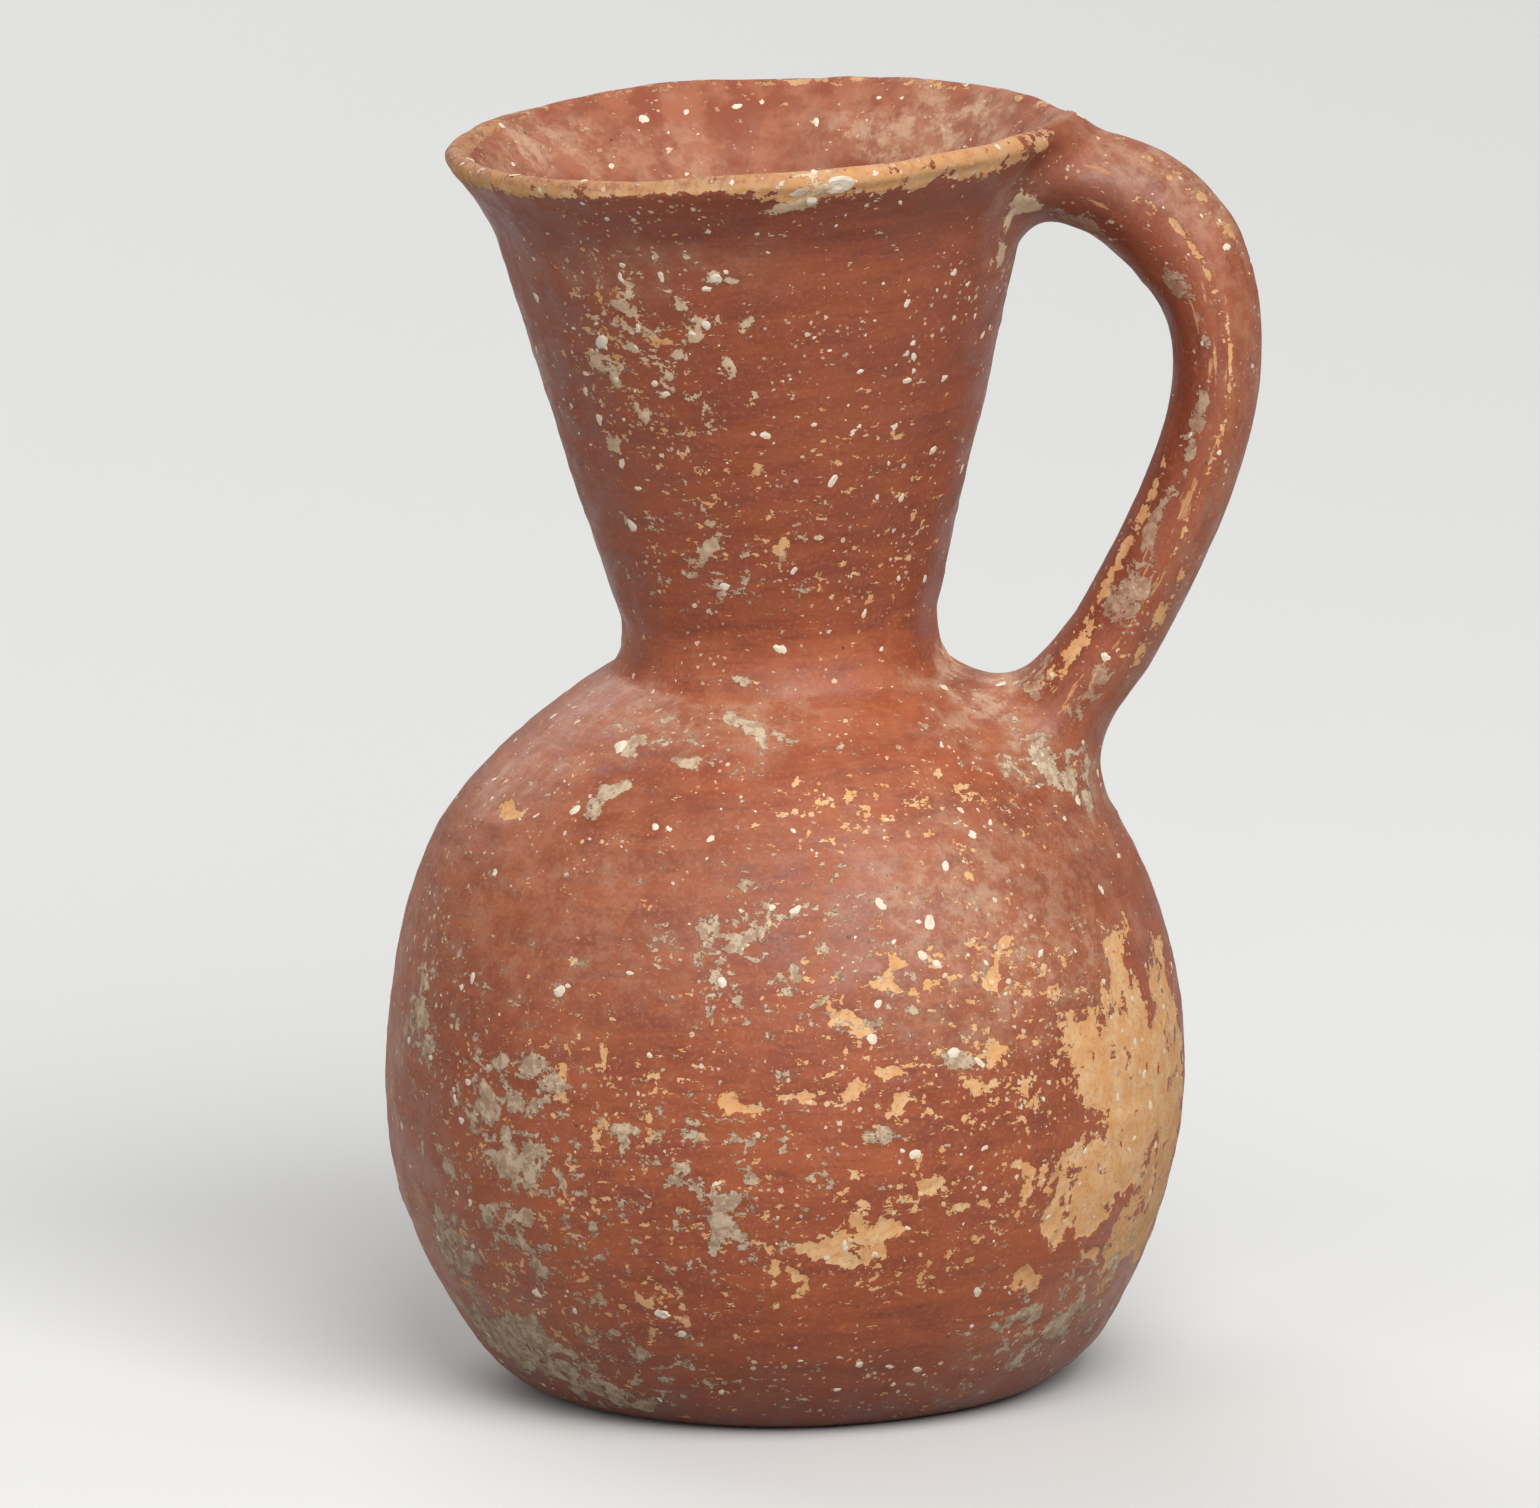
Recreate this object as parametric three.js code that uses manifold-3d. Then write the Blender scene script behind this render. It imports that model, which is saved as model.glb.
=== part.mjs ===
// A hand-built pottery jug, in millimetres with +Z up. It stands on the origin and its handle points to +X.
// Each mesh is one piece of clay as the potter formed it. The pieces meet at joints that were wetted with
// slip and then fired into one rigid body, so nothing on the jug moves.
import * as THREE from "three";
import { mergeVertices } from "three/addons/utils/BufferGeometryUtils.js";
import Module from "manifold-3d";

const wasm = await Module();
wasm.setup();

// Base: a disc of clay, flat underneath, with a rounded edge and a coil pressed into the corner inside
const baseFlatRadius = 27;
const baseEdgeSpread = 10; // from the flat's edge out to the foot of the wall
const floorThickness = 6.5;
const seamCoilSize = 6;
const seamCoilFill = 0.5; // 0 is flat across the corner, 1 follows the corner

// Body: two rings of wall that meet at the widest level
const bodyWall = 5;
const bellyRadius = 46.05;
const bellyHeight = 35;
const lowerSwell = 15; // pull of the belly on the curve below it
const footLean = 34; // degrees from upright, of the wall at its foot
const footPull = 3.5;
const shoulderHeight = 48;
const shoulderSwell = 30; // pull of the belly on the curve above it
const mouthLean = 59; // degrees from upright, of the shoulder at its mouth
const mouthPull = 11;

// Neck: a cone that stands on the shoulder's mouth, with a thin coil smoothed into the crease outside
const neckWall = 3.9;
const neckFootRadius = 16.2;
const neckTopRadius = 29.9;
const neckLength = 51.6;
const creaseSpread = 3.4; // from the neck's foot out to the edge of the shoulder's mouth
const creaseRise = 6.5;
const creaseDepth = 2.6; // height of the crease's sharpest bend above the mouth
const creaseFill = 0.6; // how far the coil fills that bend, out from the neck

// Rim: a coil drawn out into a thin turned-out lip
const lipOverhang = 5.7; // from the neck's top out to the edge of the lip
const lipRise = 10.8;
const lipRound = 1.3;
const lipFlare = 40; // degrees from upright
const lipPull = 4; // pull of the neck's slope on the curve of the lip
const lipTurn = 2; // straight run of the lip below its rounded edge

// Handle: a loop of oval section with a faint ridge along each flank, from the rim down to the shoulder
const handleThickness = 10;
const handleWidth = 13;
const handleCrownExtra = 1.6; // added thickness at the top of the loop
const handleSquareness = 1.8; // an ellipse is 2, a diamond is 1
const handleDrop = 5.6; // from the top of the lip to the middle of the handle there
const handleReach = 51.8; // from the jug's axis to the middle of the handle at its widest
const handleBowHeight = 36.7; // from the shoulder's mouth up to that widest point
const handleRootInset = 15.85; // from the widest level in to where its middle meets the shoulder
const handleTopPull = 16;
const handleBowPullUp = 11.5;
const handleBowPullDown = 13;
const handleRootPull = 20;
const handleRootLean = 37; // degrees from upright, of the handle at its lower end
const handleBury = 6; // how far its lower end runs into the wall before it is cut

// Luting: clay smeared round both ends of the handle
const lutingEdge = 0.5; // thickness where the smear runs out on the handle
const rimLutingSpread = 2.6;
const rimLutingLength = 9;
const rimLutingShift = 0.3; // the upper smear is thicker under the handle
const rimLutingTop = 3.2; // from the top of the lip down to the upper smear's open top
const shoulderLutingSpread = 3.8;
const shoulderLutingLength = 11;
const shoulderLutingShift = 2; // the lower smear is thicker on the side of the neck

// The whole neck leans a little, away from the handle
const neckLean = 1.95; // degrees
const leanEase = 12; // height above the shoulder's mouth over which the lean sets in

// Film of slip left in the slanted joints
const slipGap = 0.3;

// Facets
const turnSteps = 56;
const lowerSteps = 7;
const shoulderSteps = 11;
const bendSteps = 5;
const handleSteps = 40;
const handleSides = 22;
const lutingSteps = 8;

// Levels and radii worked out from the sizes above
const seatHeight = bellyHeight + shoulderHeight;
const neckTopHeight = seatHeight + neckLength;
const rimHeight = neckTopHeight + lipRise;
const footRadius = baseFlatRadius + baseEdgeSpread;
const throatRadius = neckFootRadius - neckWall;
const mouthRadius = neckFootRadius + creaseSpread;
const lipRadius = neckTopRadius + lipOverhang;
const handleRootRadius = bellyRadius - handleRootInset;

// A point of an outline: its distance from the jug's axis, and its height
function at(radius, height) {
  return new THREE.Vector2(radius, height);
}

// The direction that leans outward from straight up by an angle in degrees
function leaning(degrees) {
  const angle = THREE.MathUtils.degToRad(degrees);
  return new THREE.Vector2(Math.sin(angle), Math.cos(angle));
}

// The points moved to the left of the way they run, which is inward on an outline that rises
function offset(points, distance) {
  return points.map((point, i) => {
    const before = points[Math.max(i - 1, 0)];
    const after = points[Math.min(i + 1, points.length - 1)];
    const along = after.clone().sub(before).normalize();
    return at(point.x - along.y * distance, point.y + along.x * distance);
  });
}

// The point where the line from one point through another reaches a height
function onLevel(from, through, height) {
  return from.clone().lerp(through, (height - from.y) / (through.y - from.y));
}

// The outline turned round the jug's axis
function revolve(outline) {
  const points = THREE.ShapeUtils.isClockWise(outline) ? [...outline].reverse() : [...outline];
  const onAxis = points.some((point) => point.x === 0);
  const closed = onAxis ? points : [...points, points[0]];
  return new THREE.LatheGeometry(closed, turnSteps).rotateX(Math.PI / 2);
}

// A closed geometry as a solid for cutting, and back
function solidOf(geometry) {
  const bare = geometry.clone();
  bare.deleteAttribute("normal");
  bare.deleteAttribute("uv");
  const merged = mergeVertices(bare);
  const vertProperties = new Float32Array(merged.attributes.position.array);
  const triVerts = new Uint32Array(merged.index.array);
  return new wasm.Manifold(new wasm.Mesh({ numProp: 3, vertProperties, triVerts }));
}

function geometryOf(solid) {
  const { vertProperties, triVerts } = solid.getMesh();
  const geometry = new THREE.BufferGeometry();
  geometry.setAttribute("position", new THREE.BufferAttribute(vertProperties, 3));
  geometry.setIndex(new THREE.BufferAttribute(triVerts, 1));
  return geometry;
}

// Outer outlines, each running upward
const footCorner = at(footRadius, floorThickness);
const belly = at(bellyRadius, bellyHeight);
const mouthEdge = at(mouthRadius, seatHeight);
const neckFoot = at(neckFootRadius, seatHeight);
const neckTop = at(neckTopRadius, neckTopHeight);
const lipMiddle = at(lipRadius - lipRound, rimHeight - lipRound);

const baseEdge = new THREE.QuadraticBezierCurve(
  at(baseFlatRadius, 0),
  onLevel(footCorner, footCorner.clone().add(leaning(footLean)), 0),
  footCorner,
).getPoints(bendSteps);

const lowerOutside = new THREE.CubicBezierCurve(
  footCorner,
  footCorner.clone().addScaledVector(leaning(footLean), footPull),
  at(bellyRadius, bellyHeight - lowerSwell),
  belly,
).getPoints(lowerSteps);

const shoulderOutside = new THREE.CubicBezierCurve(
  belly,
  at(bellyRadius, bellyHeight + shoulderSwell),
  mouthEdge.clone().addScaledVector(leaning(-mouthLean), -mouthPull),
  mouthEdge,
).getPoints(shoulderSteps);

const creaseTop = onLevel(neckFoot, neckTop, seatHeight + creaseRise);
const creaseBend = onLevel(neckFoot, neckTop, seatHeight + creaseDepth);
const crease = new THREE.QuadraticBezierCurve(
  mouthEdge,
  at(creaseBend.x + creaseFill, creaseBend.y),
  creaseTop,
).getPoints(bendSteps);

const lipOuterEnd = lipMiddle.clone().add(leaning(90 + lipFlare).multiplyScalar(lipRound));
const lipInnerEnd = lipMiddle.clone().sub(leaning(90 + lipFlare).multiplyScalar(lipRound));
const neckSlope = neckTop.clone().sub(neckFoot).normalize();
const rimOutside = new THREE.CubicBezierCurve(
  neckTop,
  neckTop.clone().addScaledVector(neckSlope, lipPull),
  lipOuterEnd.clone().addScaledVector(leaning(lipFlare), -lipTurn),
  lipOuterEnd,
).getPoints(bendSteps);

const rimInnerFoot = at(neckTopRadius - neckWall, neckTopHeight);
const rimInside = new THREE.CubicBezierCurve(
  lipInnerEnd,
  lipInnerEnd.clone().addScaledVector(leaning(lipFlare), -lipTurn),
  rimInnerFoot.clone().addScaledVector(neckSlope, lipPull),
  rimInnerFoot,
).getPoints(bendSteps);

const lipEdge = new THREE.EllipseCurve(
  lipMiddle.x,
  lipMiddle.y,
  lipRound,
  lipRound,
  THREE.MathUtils.degToRad(-lipFlare),
  THREE.MathUtils.degToRad(180 - lipFlare),
).getPoints(bendSteps);

// The pieces that were turned about the jug's axis
function baseDisc() {
  return revolve([at(0, 0), ...baseEdge, at(0, floorThickness)]);
}

function lowerInside(distance) {
  const points = offset(lowerOutside, distance);
  const last = points.length - 1;
  const foot = onLevel(points[1], points[0], floorThickness);
  const top = onLevel(points[last - 1], points[last], bellyHeight);
  return [foot, ...points.slice(0, last), top];
}

function lowerWall() {
  return revolve([...lowerOutside, ...lowerInside(bodyWall).reverse()]);
}

function baseSeamCoil() {
  const topHeight = floorThickness + seamCoilSize;
  const wall = lowerInside(bodyWall + slipGap);
  const above = wall.findIndex((point) => point.y > topHeight);
  const top = onLevel(wall[above - 1], wall[above], topHeight);
  const toe = at(wall[0].x - seamCoilSize, floorThickness);
  const hollow = new THREE.QuadraticBezierCurve(
    top,
    toe.clone().lerp(top, seamCoilFill).lerp(wall[0], seamCoilFill),
    toe,
  ).getPoints(bendSteps);
  return revolve([...wall.slice(0, above), ...hollow]);
}

function shoulderWall() {
  const points = offset(shoulderOutside, bodyWall);
  const foot = onLevel(points[1], points[0], bellyHeight);
  const inside = [foot, ...points.slice(1), at(throatRadius, seatHeight)];
  return revolve([...shoulderOutside, ...inside.reverse()]);
}

function neckLutingCoil() {
  const neckSide = offset([creaseTop, neckFoot], slipGap);
  const foot = onLevel(neckSide[0], neckSide[1], seatHeight);
  return revolve([foot, ...crease.slice(0, -1), neckSide[0]]);
}

function neck() {
  return revolve([neckFoot, creaseTop, neckTop, rimInnerFoot, at(throatRadius, seatHeight)]);
}

function rimCoil() {
  return revolve([...rimOutside, ...lipEdge.slice(1, -1), ...rimInside]);
}

// The jug filled to its axis and grown by the film of slip, which cuts the ends of what is stuck on it
function filledJug() {
  const outside = [
    ...baseEdge,
    ...lowerOutside.slice(1),
    ...shoulderOutside.slice(1),
    ...crease.slice(1),
    ...rimOutside,
    ...lipEdge.slice(1),
  ];
  const grown = offset(outside, -slipGap);
  return solidOf(revolve([at(0, grown[0].y), ...grown, at(0, grown.at(-1).y)]));
}

// The handle's middle line, in the plane of the jug's axis
function handleLine() {
  const point = (radius, height) => new THREE.Vector3(radius, 0, height);
  const rootIndex = shoulderOutside.findIndex((p) => p.x < handleRootRadius);
  const above = shoulderOutside[rootIndex];
  const below = shoulderOutside[rootIndex - 1];
  const share = (handleRootRadius - below.x) / (above.x - below.x);
  const root = below.clone().lerp(above, share);
  const rootWay = leaning(handleRootLean);
  const end = root.clone().addScaledVector(rootWay, -handleBury);
  const rootPull = root.clone().addScaledVector(rootWay, handleRootPull);
  const topHeight = rimHeight - handleDrop;
  const bowHeight = seatHeight + handleBowHeight;
  const start = neckTopRadius - neckWall / 2;
  const line = new THREE.CurvePath();
  line.add(new THREE.CubicBezierCurve3(
    point(start, topHeight),
    point(start + handleTopPull, topHeight),
    point(handleReach, bowHeight + handleBowPullUp),
    point(handleReach, bowHeight),
  ));
  line.add(new THREE.CubicBezierCurve3(
    point(handleReach, bowHeight),
    point(handleReach, bowHeight - handleBowPullDown),
    point(rootPull.x, rootPull.y),
    point(end.x, end.y),
  ));
  return line;
}

// One oval ring of a sweep: it lies square to the line, wide across it, and may be shifted toward the jug
function ovalRing(line, share, thickness, width, shift) {
  const middle = line.getPointAt(share);
  const along = line.getTangentAt(share);
  const outward = new THREE.Vector3(-along.z, 0, along.x);
  const power = 2 / handleSquareness;
  return Array.from({ length: handleSides }, (_, i) => {
    const turn = (i / handleSides) * Math.PI * 2;
    const across = Math.sign(Math.sin(turn)) * Math.abs(Math.sin(turn)) ** power * (width / 2);
    const out = Math.sign(Math.cos(turn)) * Math.abs(Math.cos(turn)) ** power * (thickness / 2);
    return middle.clone().addScaledVector(outward, out - shift).setY(across);
  });
}

// The closed skin over a run of rings, capped flat at both ends
function skin(rings) {
  const sides = rings[0].length;
  const corners = rings.flat();
  const faces = [];
  for (let ring = 0; ring < rings.length - 1; ring += 1) {
    for (let side = 0; side < sides; side += 1) {
      const a = ring * sides + side;
      const b = ring * sides + ((side + 1) % sides);
      faces.push(a, a + sides, b, b, a + sides, b + sides);
    }
  }
  const lastRing = (rings.length - 1) * sides;
  for (let side = 1; side < sides - 1; side += 1) {
    faces.push(0, side, side + 1);
    faces.push(lastRing, lastRing + side + 1, lastRing + side);
  }
  const geometry = new THREE.BufferGeometry().setFromPoints(corners);
  geometry.setIndex(faces);
  return geometry;
}

// The handle's thickness swells at the crown of the loop
function handleThicknessAt(line, share) {
  const crownShare = line.getCurveLengths()[0] / line.getLength() / 2;
  const near = Math.max(0, 1 - Math.abs(share - crownShare) / crownShare);
  return handleThickness + handleCrownExtra * THREE.MathUtils.smoothstep(near, 0, 1);
}

function rawHandle(line, growth) {
  const rings = Array.from({ length: handleSteps + 1 }, (_, i) => {
    const share = i / handleSteps;
    const thickness = handleThicknessAt(line, share) + growth * 2;
    return ovalRing(line, share, thickness, handleWidth + growth * 2, 0);
  });
  return solidOf(skin(rings));
}

// A flared smear round one end of the handle: full where it is buried, running out along the free length
function rawLuting(line, atStart, buried, length, spread, shift) {
  const total = line.getLength();
  const rings = Array.from({ length: lutingSteps + 1 }, (_, i) => {
    const run = Math.max(0, (i - 1) / (lutingSteps - 1));
    const distance = i === 0 ? 0 : buried + run * length;
    const share = atStart ? distance / total : 1 - distance / total;
    const fade = (1 - run) ** 2;
    const flare = lutingEdge + (spread - lutingEdge) * fade;
    const thickness = handleThicknessAt(line, share) + flare * 2;
    return ovalRing(line, share, thickness, handleWidth + flare * 2, shift * fade);
  });
  return solidOf(skin(atStart ? rings : rings.reverse()));
}

// Everything above the shoulder's mouth leans, setting in softly so that the joint below stays flat
function leanNeck(geometry) {
  const slope = Math.tan(THREE.MathUtils.degToRad(neckLean));
  const position = geometry.attributes.position;
  for (let i = 0; i < position.count; i += 1) {
    const x = position.getX(i);
    const z = position.getZ(i);
    const rise = Math.max(0, z - seatHeight);
    const ease = Math.min(1, rise / leanEase);
    position.setX(i, x - slope * rise);
    position.setZ(i, z + slope * ease * x);
  }
  return geometry;
}

// The handle and its smears, cut to fit the jug and each other
const filled = filledJug();
const middleLine = handleLine();
const handleGrown = rawHandle(middleLine, slipGap);

function handle() {
  return geometryOf(rawHandle(middleLine, 0).subtract(filled));
}

function handleRimLuting() {
  const buried = neckWall / 2 + (lipRadius - neckTopRadius) / 2;
  const smear = rawLuting(middleLine, true, buried, rimLutingLength, rimLutingSpread, rimLutingShift);
  const topCut = new THREE.BoxGeometry(lipRadius * 4, lipRadius * 4, lipRadius);
  topCut.translate(0, 0, rimHeight - rimLutingTop + lipRadius / 2);
  return geometryOf(smear.subtract(filled).subtract(handleGrown).subtract(solidOf(topCut)));
}

function handleShoulderLuting() {
  const spread = shoulderLutingSpread;
  const smear = rawLuting(middleLine, false, handleBury, shoulderLutingLength, spread, shoulderLutingShift);
  return geometryOf(smear.subtract(filled).subtract(handleGrown));
}

// The jug
const slipRed = 0x96503c;
const paleSlipRed = 0x9c5a44;
const bareClay = 0xb98a5a;

function piece(name, geometry, color, roughness) {
  const material = new THREE.MeshStandardMaterial({ color, roughness, metalness: 0 });
  const shape = leanNeck(geometry);
  shape.computeVertexNormals();
  const mesh = new THREE.Mesh(shape, material);
  mesh.name = name;
  return mesh;
}

const jug = new THREE.Group();
jug.name = "jug";
jug.add(
  piece("base_disc", baseDisc(), slipRed, 0.6),
  piece("base_seam_coil", baseSeamCoil(), bareClay, 0.85),
  piece("lower_wall", lowerWall(), slipRed, 0.5),
  piece("shoulder_wall", shoulderWall(), slipRed, 0.5),
  piece("neck_luting_coil", neckLutingCoil(), paleSlipRed, 0.6),
  piece("neck", neck(), slipRed, 0.5),
  piece("rim_coil", rimCoil(), bareClay, 0.7),
  piece("handle", handle(), paleSlipRed, 0.55),
  piece("handle_rim_luting", handleRimLuting(), paleSlipRed, 0.6),
  piece("handle_shoulder_luting", handleShoulderLuting(), paleSlipRed, 0.6),
);

export default jug;
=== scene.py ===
"""A hand-built pottery jug with a worn red slip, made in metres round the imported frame."""

import functools
import itertools
import math

import bmesh
import bpy
import numpy as np
from mathutils import Matrix, Vector


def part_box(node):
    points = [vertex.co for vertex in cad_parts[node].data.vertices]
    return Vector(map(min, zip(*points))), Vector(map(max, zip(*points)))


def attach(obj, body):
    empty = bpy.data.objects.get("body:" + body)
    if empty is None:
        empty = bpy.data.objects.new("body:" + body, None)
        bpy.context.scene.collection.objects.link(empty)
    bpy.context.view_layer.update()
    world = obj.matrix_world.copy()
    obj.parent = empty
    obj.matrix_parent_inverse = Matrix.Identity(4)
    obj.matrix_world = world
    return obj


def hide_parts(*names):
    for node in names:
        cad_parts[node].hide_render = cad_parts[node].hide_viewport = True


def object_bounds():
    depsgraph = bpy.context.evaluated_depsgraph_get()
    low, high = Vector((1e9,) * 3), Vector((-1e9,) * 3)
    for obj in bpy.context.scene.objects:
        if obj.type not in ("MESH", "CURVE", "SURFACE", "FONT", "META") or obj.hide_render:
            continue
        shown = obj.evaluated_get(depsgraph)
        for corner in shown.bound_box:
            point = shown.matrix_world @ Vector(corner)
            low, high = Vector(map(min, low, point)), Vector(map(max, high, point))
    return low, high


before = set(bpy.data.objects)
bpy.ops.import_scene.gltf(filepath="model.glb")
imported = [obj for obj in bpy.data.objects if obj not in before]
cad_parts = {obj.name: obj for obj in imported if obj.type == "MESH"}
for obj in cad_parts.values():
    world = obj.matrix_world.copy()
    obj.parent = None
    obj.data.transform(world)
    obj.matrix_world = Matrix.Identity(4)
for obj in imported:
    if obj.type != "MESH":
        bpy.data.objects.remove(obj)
CAD_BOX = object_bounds()

MM = 0.001  # lengths below are in millimetres, and the scene is in metres

# Levels and radii that the frame gives
FLOOR_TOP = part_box("base_disc")[1][2] / MM
BELLY_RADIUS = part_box("lower_wall")[1][0] / MM
BELLY_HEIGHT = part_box("lower_wall")[1][2] / MM
SEAT_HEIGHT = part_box("shoulder_wall")[1][2] / MM

# The wall's outside, upright, as the part's drawing has it
FLAT_RADIUS = 27.0
FOOT_RADIUS = 37.0
FOOT_LEAN = 34.0  # degrees from upright
FOOT_PULL = 3.5
LOWER_SWELL = 15.0
SHOULDER_SWELL = 30.0
MOUTH_RADIUS = 19.6
MOUTH_LEAN = 59.0
MOUTH_PULL = 11.0
CREASE_RADIUS = 17.5
CREASE_DEPTH = 2.6
CREASE_RISE = 6.5
NECK_FOOT_RADIUS = 16.2
NECK_TOP_RADIUS = 29.9
NECK_LENGTH = 51.6
LIP_RADIUS = 35.3
LIP_RISE = 9.2
LIP_FLARE = 40.0
LIP_PULL = 4.0
LIP_TURN = 2.0
LIP_CROWN = 2.1  # how far the lip's round top stands over the end of its outline
NECK_LEAN = math.tan(math.radians(1.95))  # sideways, away from the handle
LEAN_EASE = 12.0
RIM_SEAM = SEAT_HEIGHT + NECK_LENGTH
LIP_TOP = RIM_SEAM + LIP_RISE + LIP_CROWN

# The wall's thickness at a few heights
THICKNESS_HEIGHTS = [0, 6.5, 12, 70, 83, 90, 100, 134.6, 144]
THICKNESSES = [6.5, 5.6, 5, 5, 4.6, 4.2, 3.9, 3.8, 2.6]
WALL_CHART = ((0, -10), (66, 160))  # radii and heights in which the wall is looked up

# The handle's middle line in the plane of the jug's axis, and its oval section
HANDLE_START = (28.0, 139.8)
HANDLE_TOP_PULL = 16.0
HANDLE_REACH = 51.8
HANDLE_BOW_HEIGHT = 119.7
HANDLE_BOW_PULL_UP = 11.5
HANDLE_BOW_PULL_DOWN = 13.0
HANDLE_ROOT = (30.2, 76.3)
HANDLE_ROOT_LEAN = 37.0
HANDLE_ROOT_PULL = 20.0
HANDLE_BURY = 6.0
HANDLE_THICKNESS = 10.0
HANDLE_CROWN_EXTRA = 1.6
HANDLE_WIDTH = 13.0
HANDLE_SQUARENESS = 1.8  # an ellipse is 2, a diamond is 1
HANDLE_FLARE = 2.5  # how much wider it is at its ends
FLARE_START = 22.0  # distances from an end
FLARE_FULL = 6.0
HANDLE_CHART = ((14, 56), (68, 160))  # the part of the plane in which the handle is looked up
HANDLE_SIDE = 20.0
UPPER_FILLET = 5.0
LOWER_FILLET = 9.0
FILLET_HEIGHTS = [95, 120]  # the lower fillet reaches up to the first, and the upper one down to the second
# How far the hand-drawn handle swells inward and outward, at a few distances along it
SWELL_PLACES = [0, 12, 18, 25, 31, 37, 43, 50, 56, 62, 72, 78, 90]
INWARD_SWELL = [0, 0.3, 1.1, 1.6, 1.1, 0.5, 0, -0.5, -0.8, -0.9, -0.7, 0, 0]
OUTWARD_SWELL = [0.3, 0.3, 0.3, 0.3, 0.2, 0.1, 0.1, 0.2, 0.5, 0.6, 1, 0.9, 1]
# Waves along the handle: reach, the length in which they turn by one radian, and their start
THICKNESS_WAVE = (0.3, 7.0, 0)
WIDTH_WAVE = (0.4, 9.0, 1)
SWAY_WAVE = (0.5, 16.0, 0.4)

# How the wall strays from a true round: reach, waves in one round, their start, and the climb in which they
# turn by one radian
WALL_WAVES = [(0.28, 2, 0.6, 60), (0.176, 3, -1.2, -45), (0.08, 5, 0, 9), (0.064, 7, 2, -6)]
WALL_WAVE_HEIGHTS = (2, 14)  # they fade in between these
SWELLING = 0.8  # one swelling on the left shoulder
SWELLING_TURN = -1.35
SWELLING_WIDTH = 0.5
SWELLING_HEIGHT = 66.0
SWELLING_RISE = 9.0
# How the rim waves up and down: reach, waves in one round, and their start
RIM_WAVES = [(0.61, 1, -0.61), (0.31, 2, -0.82), (0.15, 3, -2.55), (0.16, 5, 0.5), (0.07, 9, 0)]
RIM_DROP = 0.26
RIM_WAVE_HEIGHTS = (128, 145)

# The mesh
GRID_STEP = 0.55
GRID_MARGIN = 3.0
TABLE_STEP = 0.4
SETTLE_ROUNDS = 3
SETTLE_STEP = 0.6
SLOPE_REACH = 0.12
LEAST_SLOPE = 0.2
FAR = 50.0

# Where slip has come away: turn from the front toward the handle in degrees, height, half width, half
# height, slant in degrees, and strength, which is 1 where it is all gone and small where only crumbs are
BARE_PATCHES = [
    (66, 52, 3.4, 6, 0, 1), (79, 46, 5, 6, 0, 1), (64, 39, 14.5, 11, 0, 1), (60, 29, 13, 6.5, 0, 1),
    (67, 18.5, 8.5, 4, 0, 1), (80, 32, 6, 13, 0, 1), (82, 22, 6, 5, 0, 1), (77, 18.5, 5, 3, 0, 1),
    (55, 23.5, 5, 4, 0, 1), (70, 20, 8, 4, 0, 1), (48, 28, 4.5, 4, 0, 0.8),
    (39, 56, 1.6, 2.6, -40, 0.9), (36, 54, 2.4, 1.1, 20, 0.85), (20, 55, 2, 1.2, 0, 0.8),
    (14, 51, 2.6, 1.2, 25, 0.85), (6, 43, 2.4, 1.4, 0, 0.9), (11, 42, 1.2, 1.8, 0, 0.85),
    (18, 43.5, 2.6, 1.7, 0, 0.9), (-2, 42, 3.2, 1.1, 0, 0.9), (14, 25, 3.4, 3.2, -20, 0.8),
    (4, 22, 2, 2.3, 0, 0.8), (18, 26, 2.4, 1.2, 0, 0.8), (31, 28, 3.2, 0.7, 10, 0.8),
    (40, 31, 2.5, 2.1, 0, 0.75), (41, 18, 3.4, 1.4, 0, 0.85), (24, 32, 1.7, 0.8, 30, 0.8),
    (36, 46, 0.9, 1.4, 0, 0.8), (-30, 56, 1.1, 1, 0, 0.85), (-31, 42, 1.1, 1.3, 0, 0.8),
    (43, 73, 2.6, 1.1, 0, 0.64), (36, 65, 1.3, 1.1, 0, 0.64), (-58, 70, 3, 1.7, 0, 0.85),
    (30, 48, 26, 14, 0, 0.36), (14, 26, 30, 9, 0, 0.34), (-24, 36, 28, 18, 0, 0.3),
    (-30, 16, 26, 8, 0, 0.34), (30, 72, 26, 7, 0, 0.32), (-12, 104, 14, 10, 0, 0.3),
    (35, 104, 14, 16, 0, 0.3), (-35, 124, 8, 14, 0, 0.35), (140, 46, 34, 22, 0, 0.34),
    (-130, 34, 30, 20, 0, 0.34), (175, 18, 30, 9, 0, 0.36), (-165, 74, 34, 8, 0, 0.3),
    (150, 112, 22, 18, 0, 0.32), (-110, 104, 18, 16, 0, 0.3),
]

# Where slip has stayed on, inside a bare patch or over a wide smooth stretch: the same six values
KEPT_SLIP = [
    (63, 23.5, 3.4, 1.1, 30, 1), (58.5, 21.5, 1.5, 1.6, 0, 0.9), (47, 36, 1.4, 2.2, 0, 0.9),
    (72, 50, 1.5, 4, 0, 1), (42, 24.5, 3.6, 1.6, 0, 1), (-30, 62, 16, 7, 0, 0.5),
]

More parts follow.
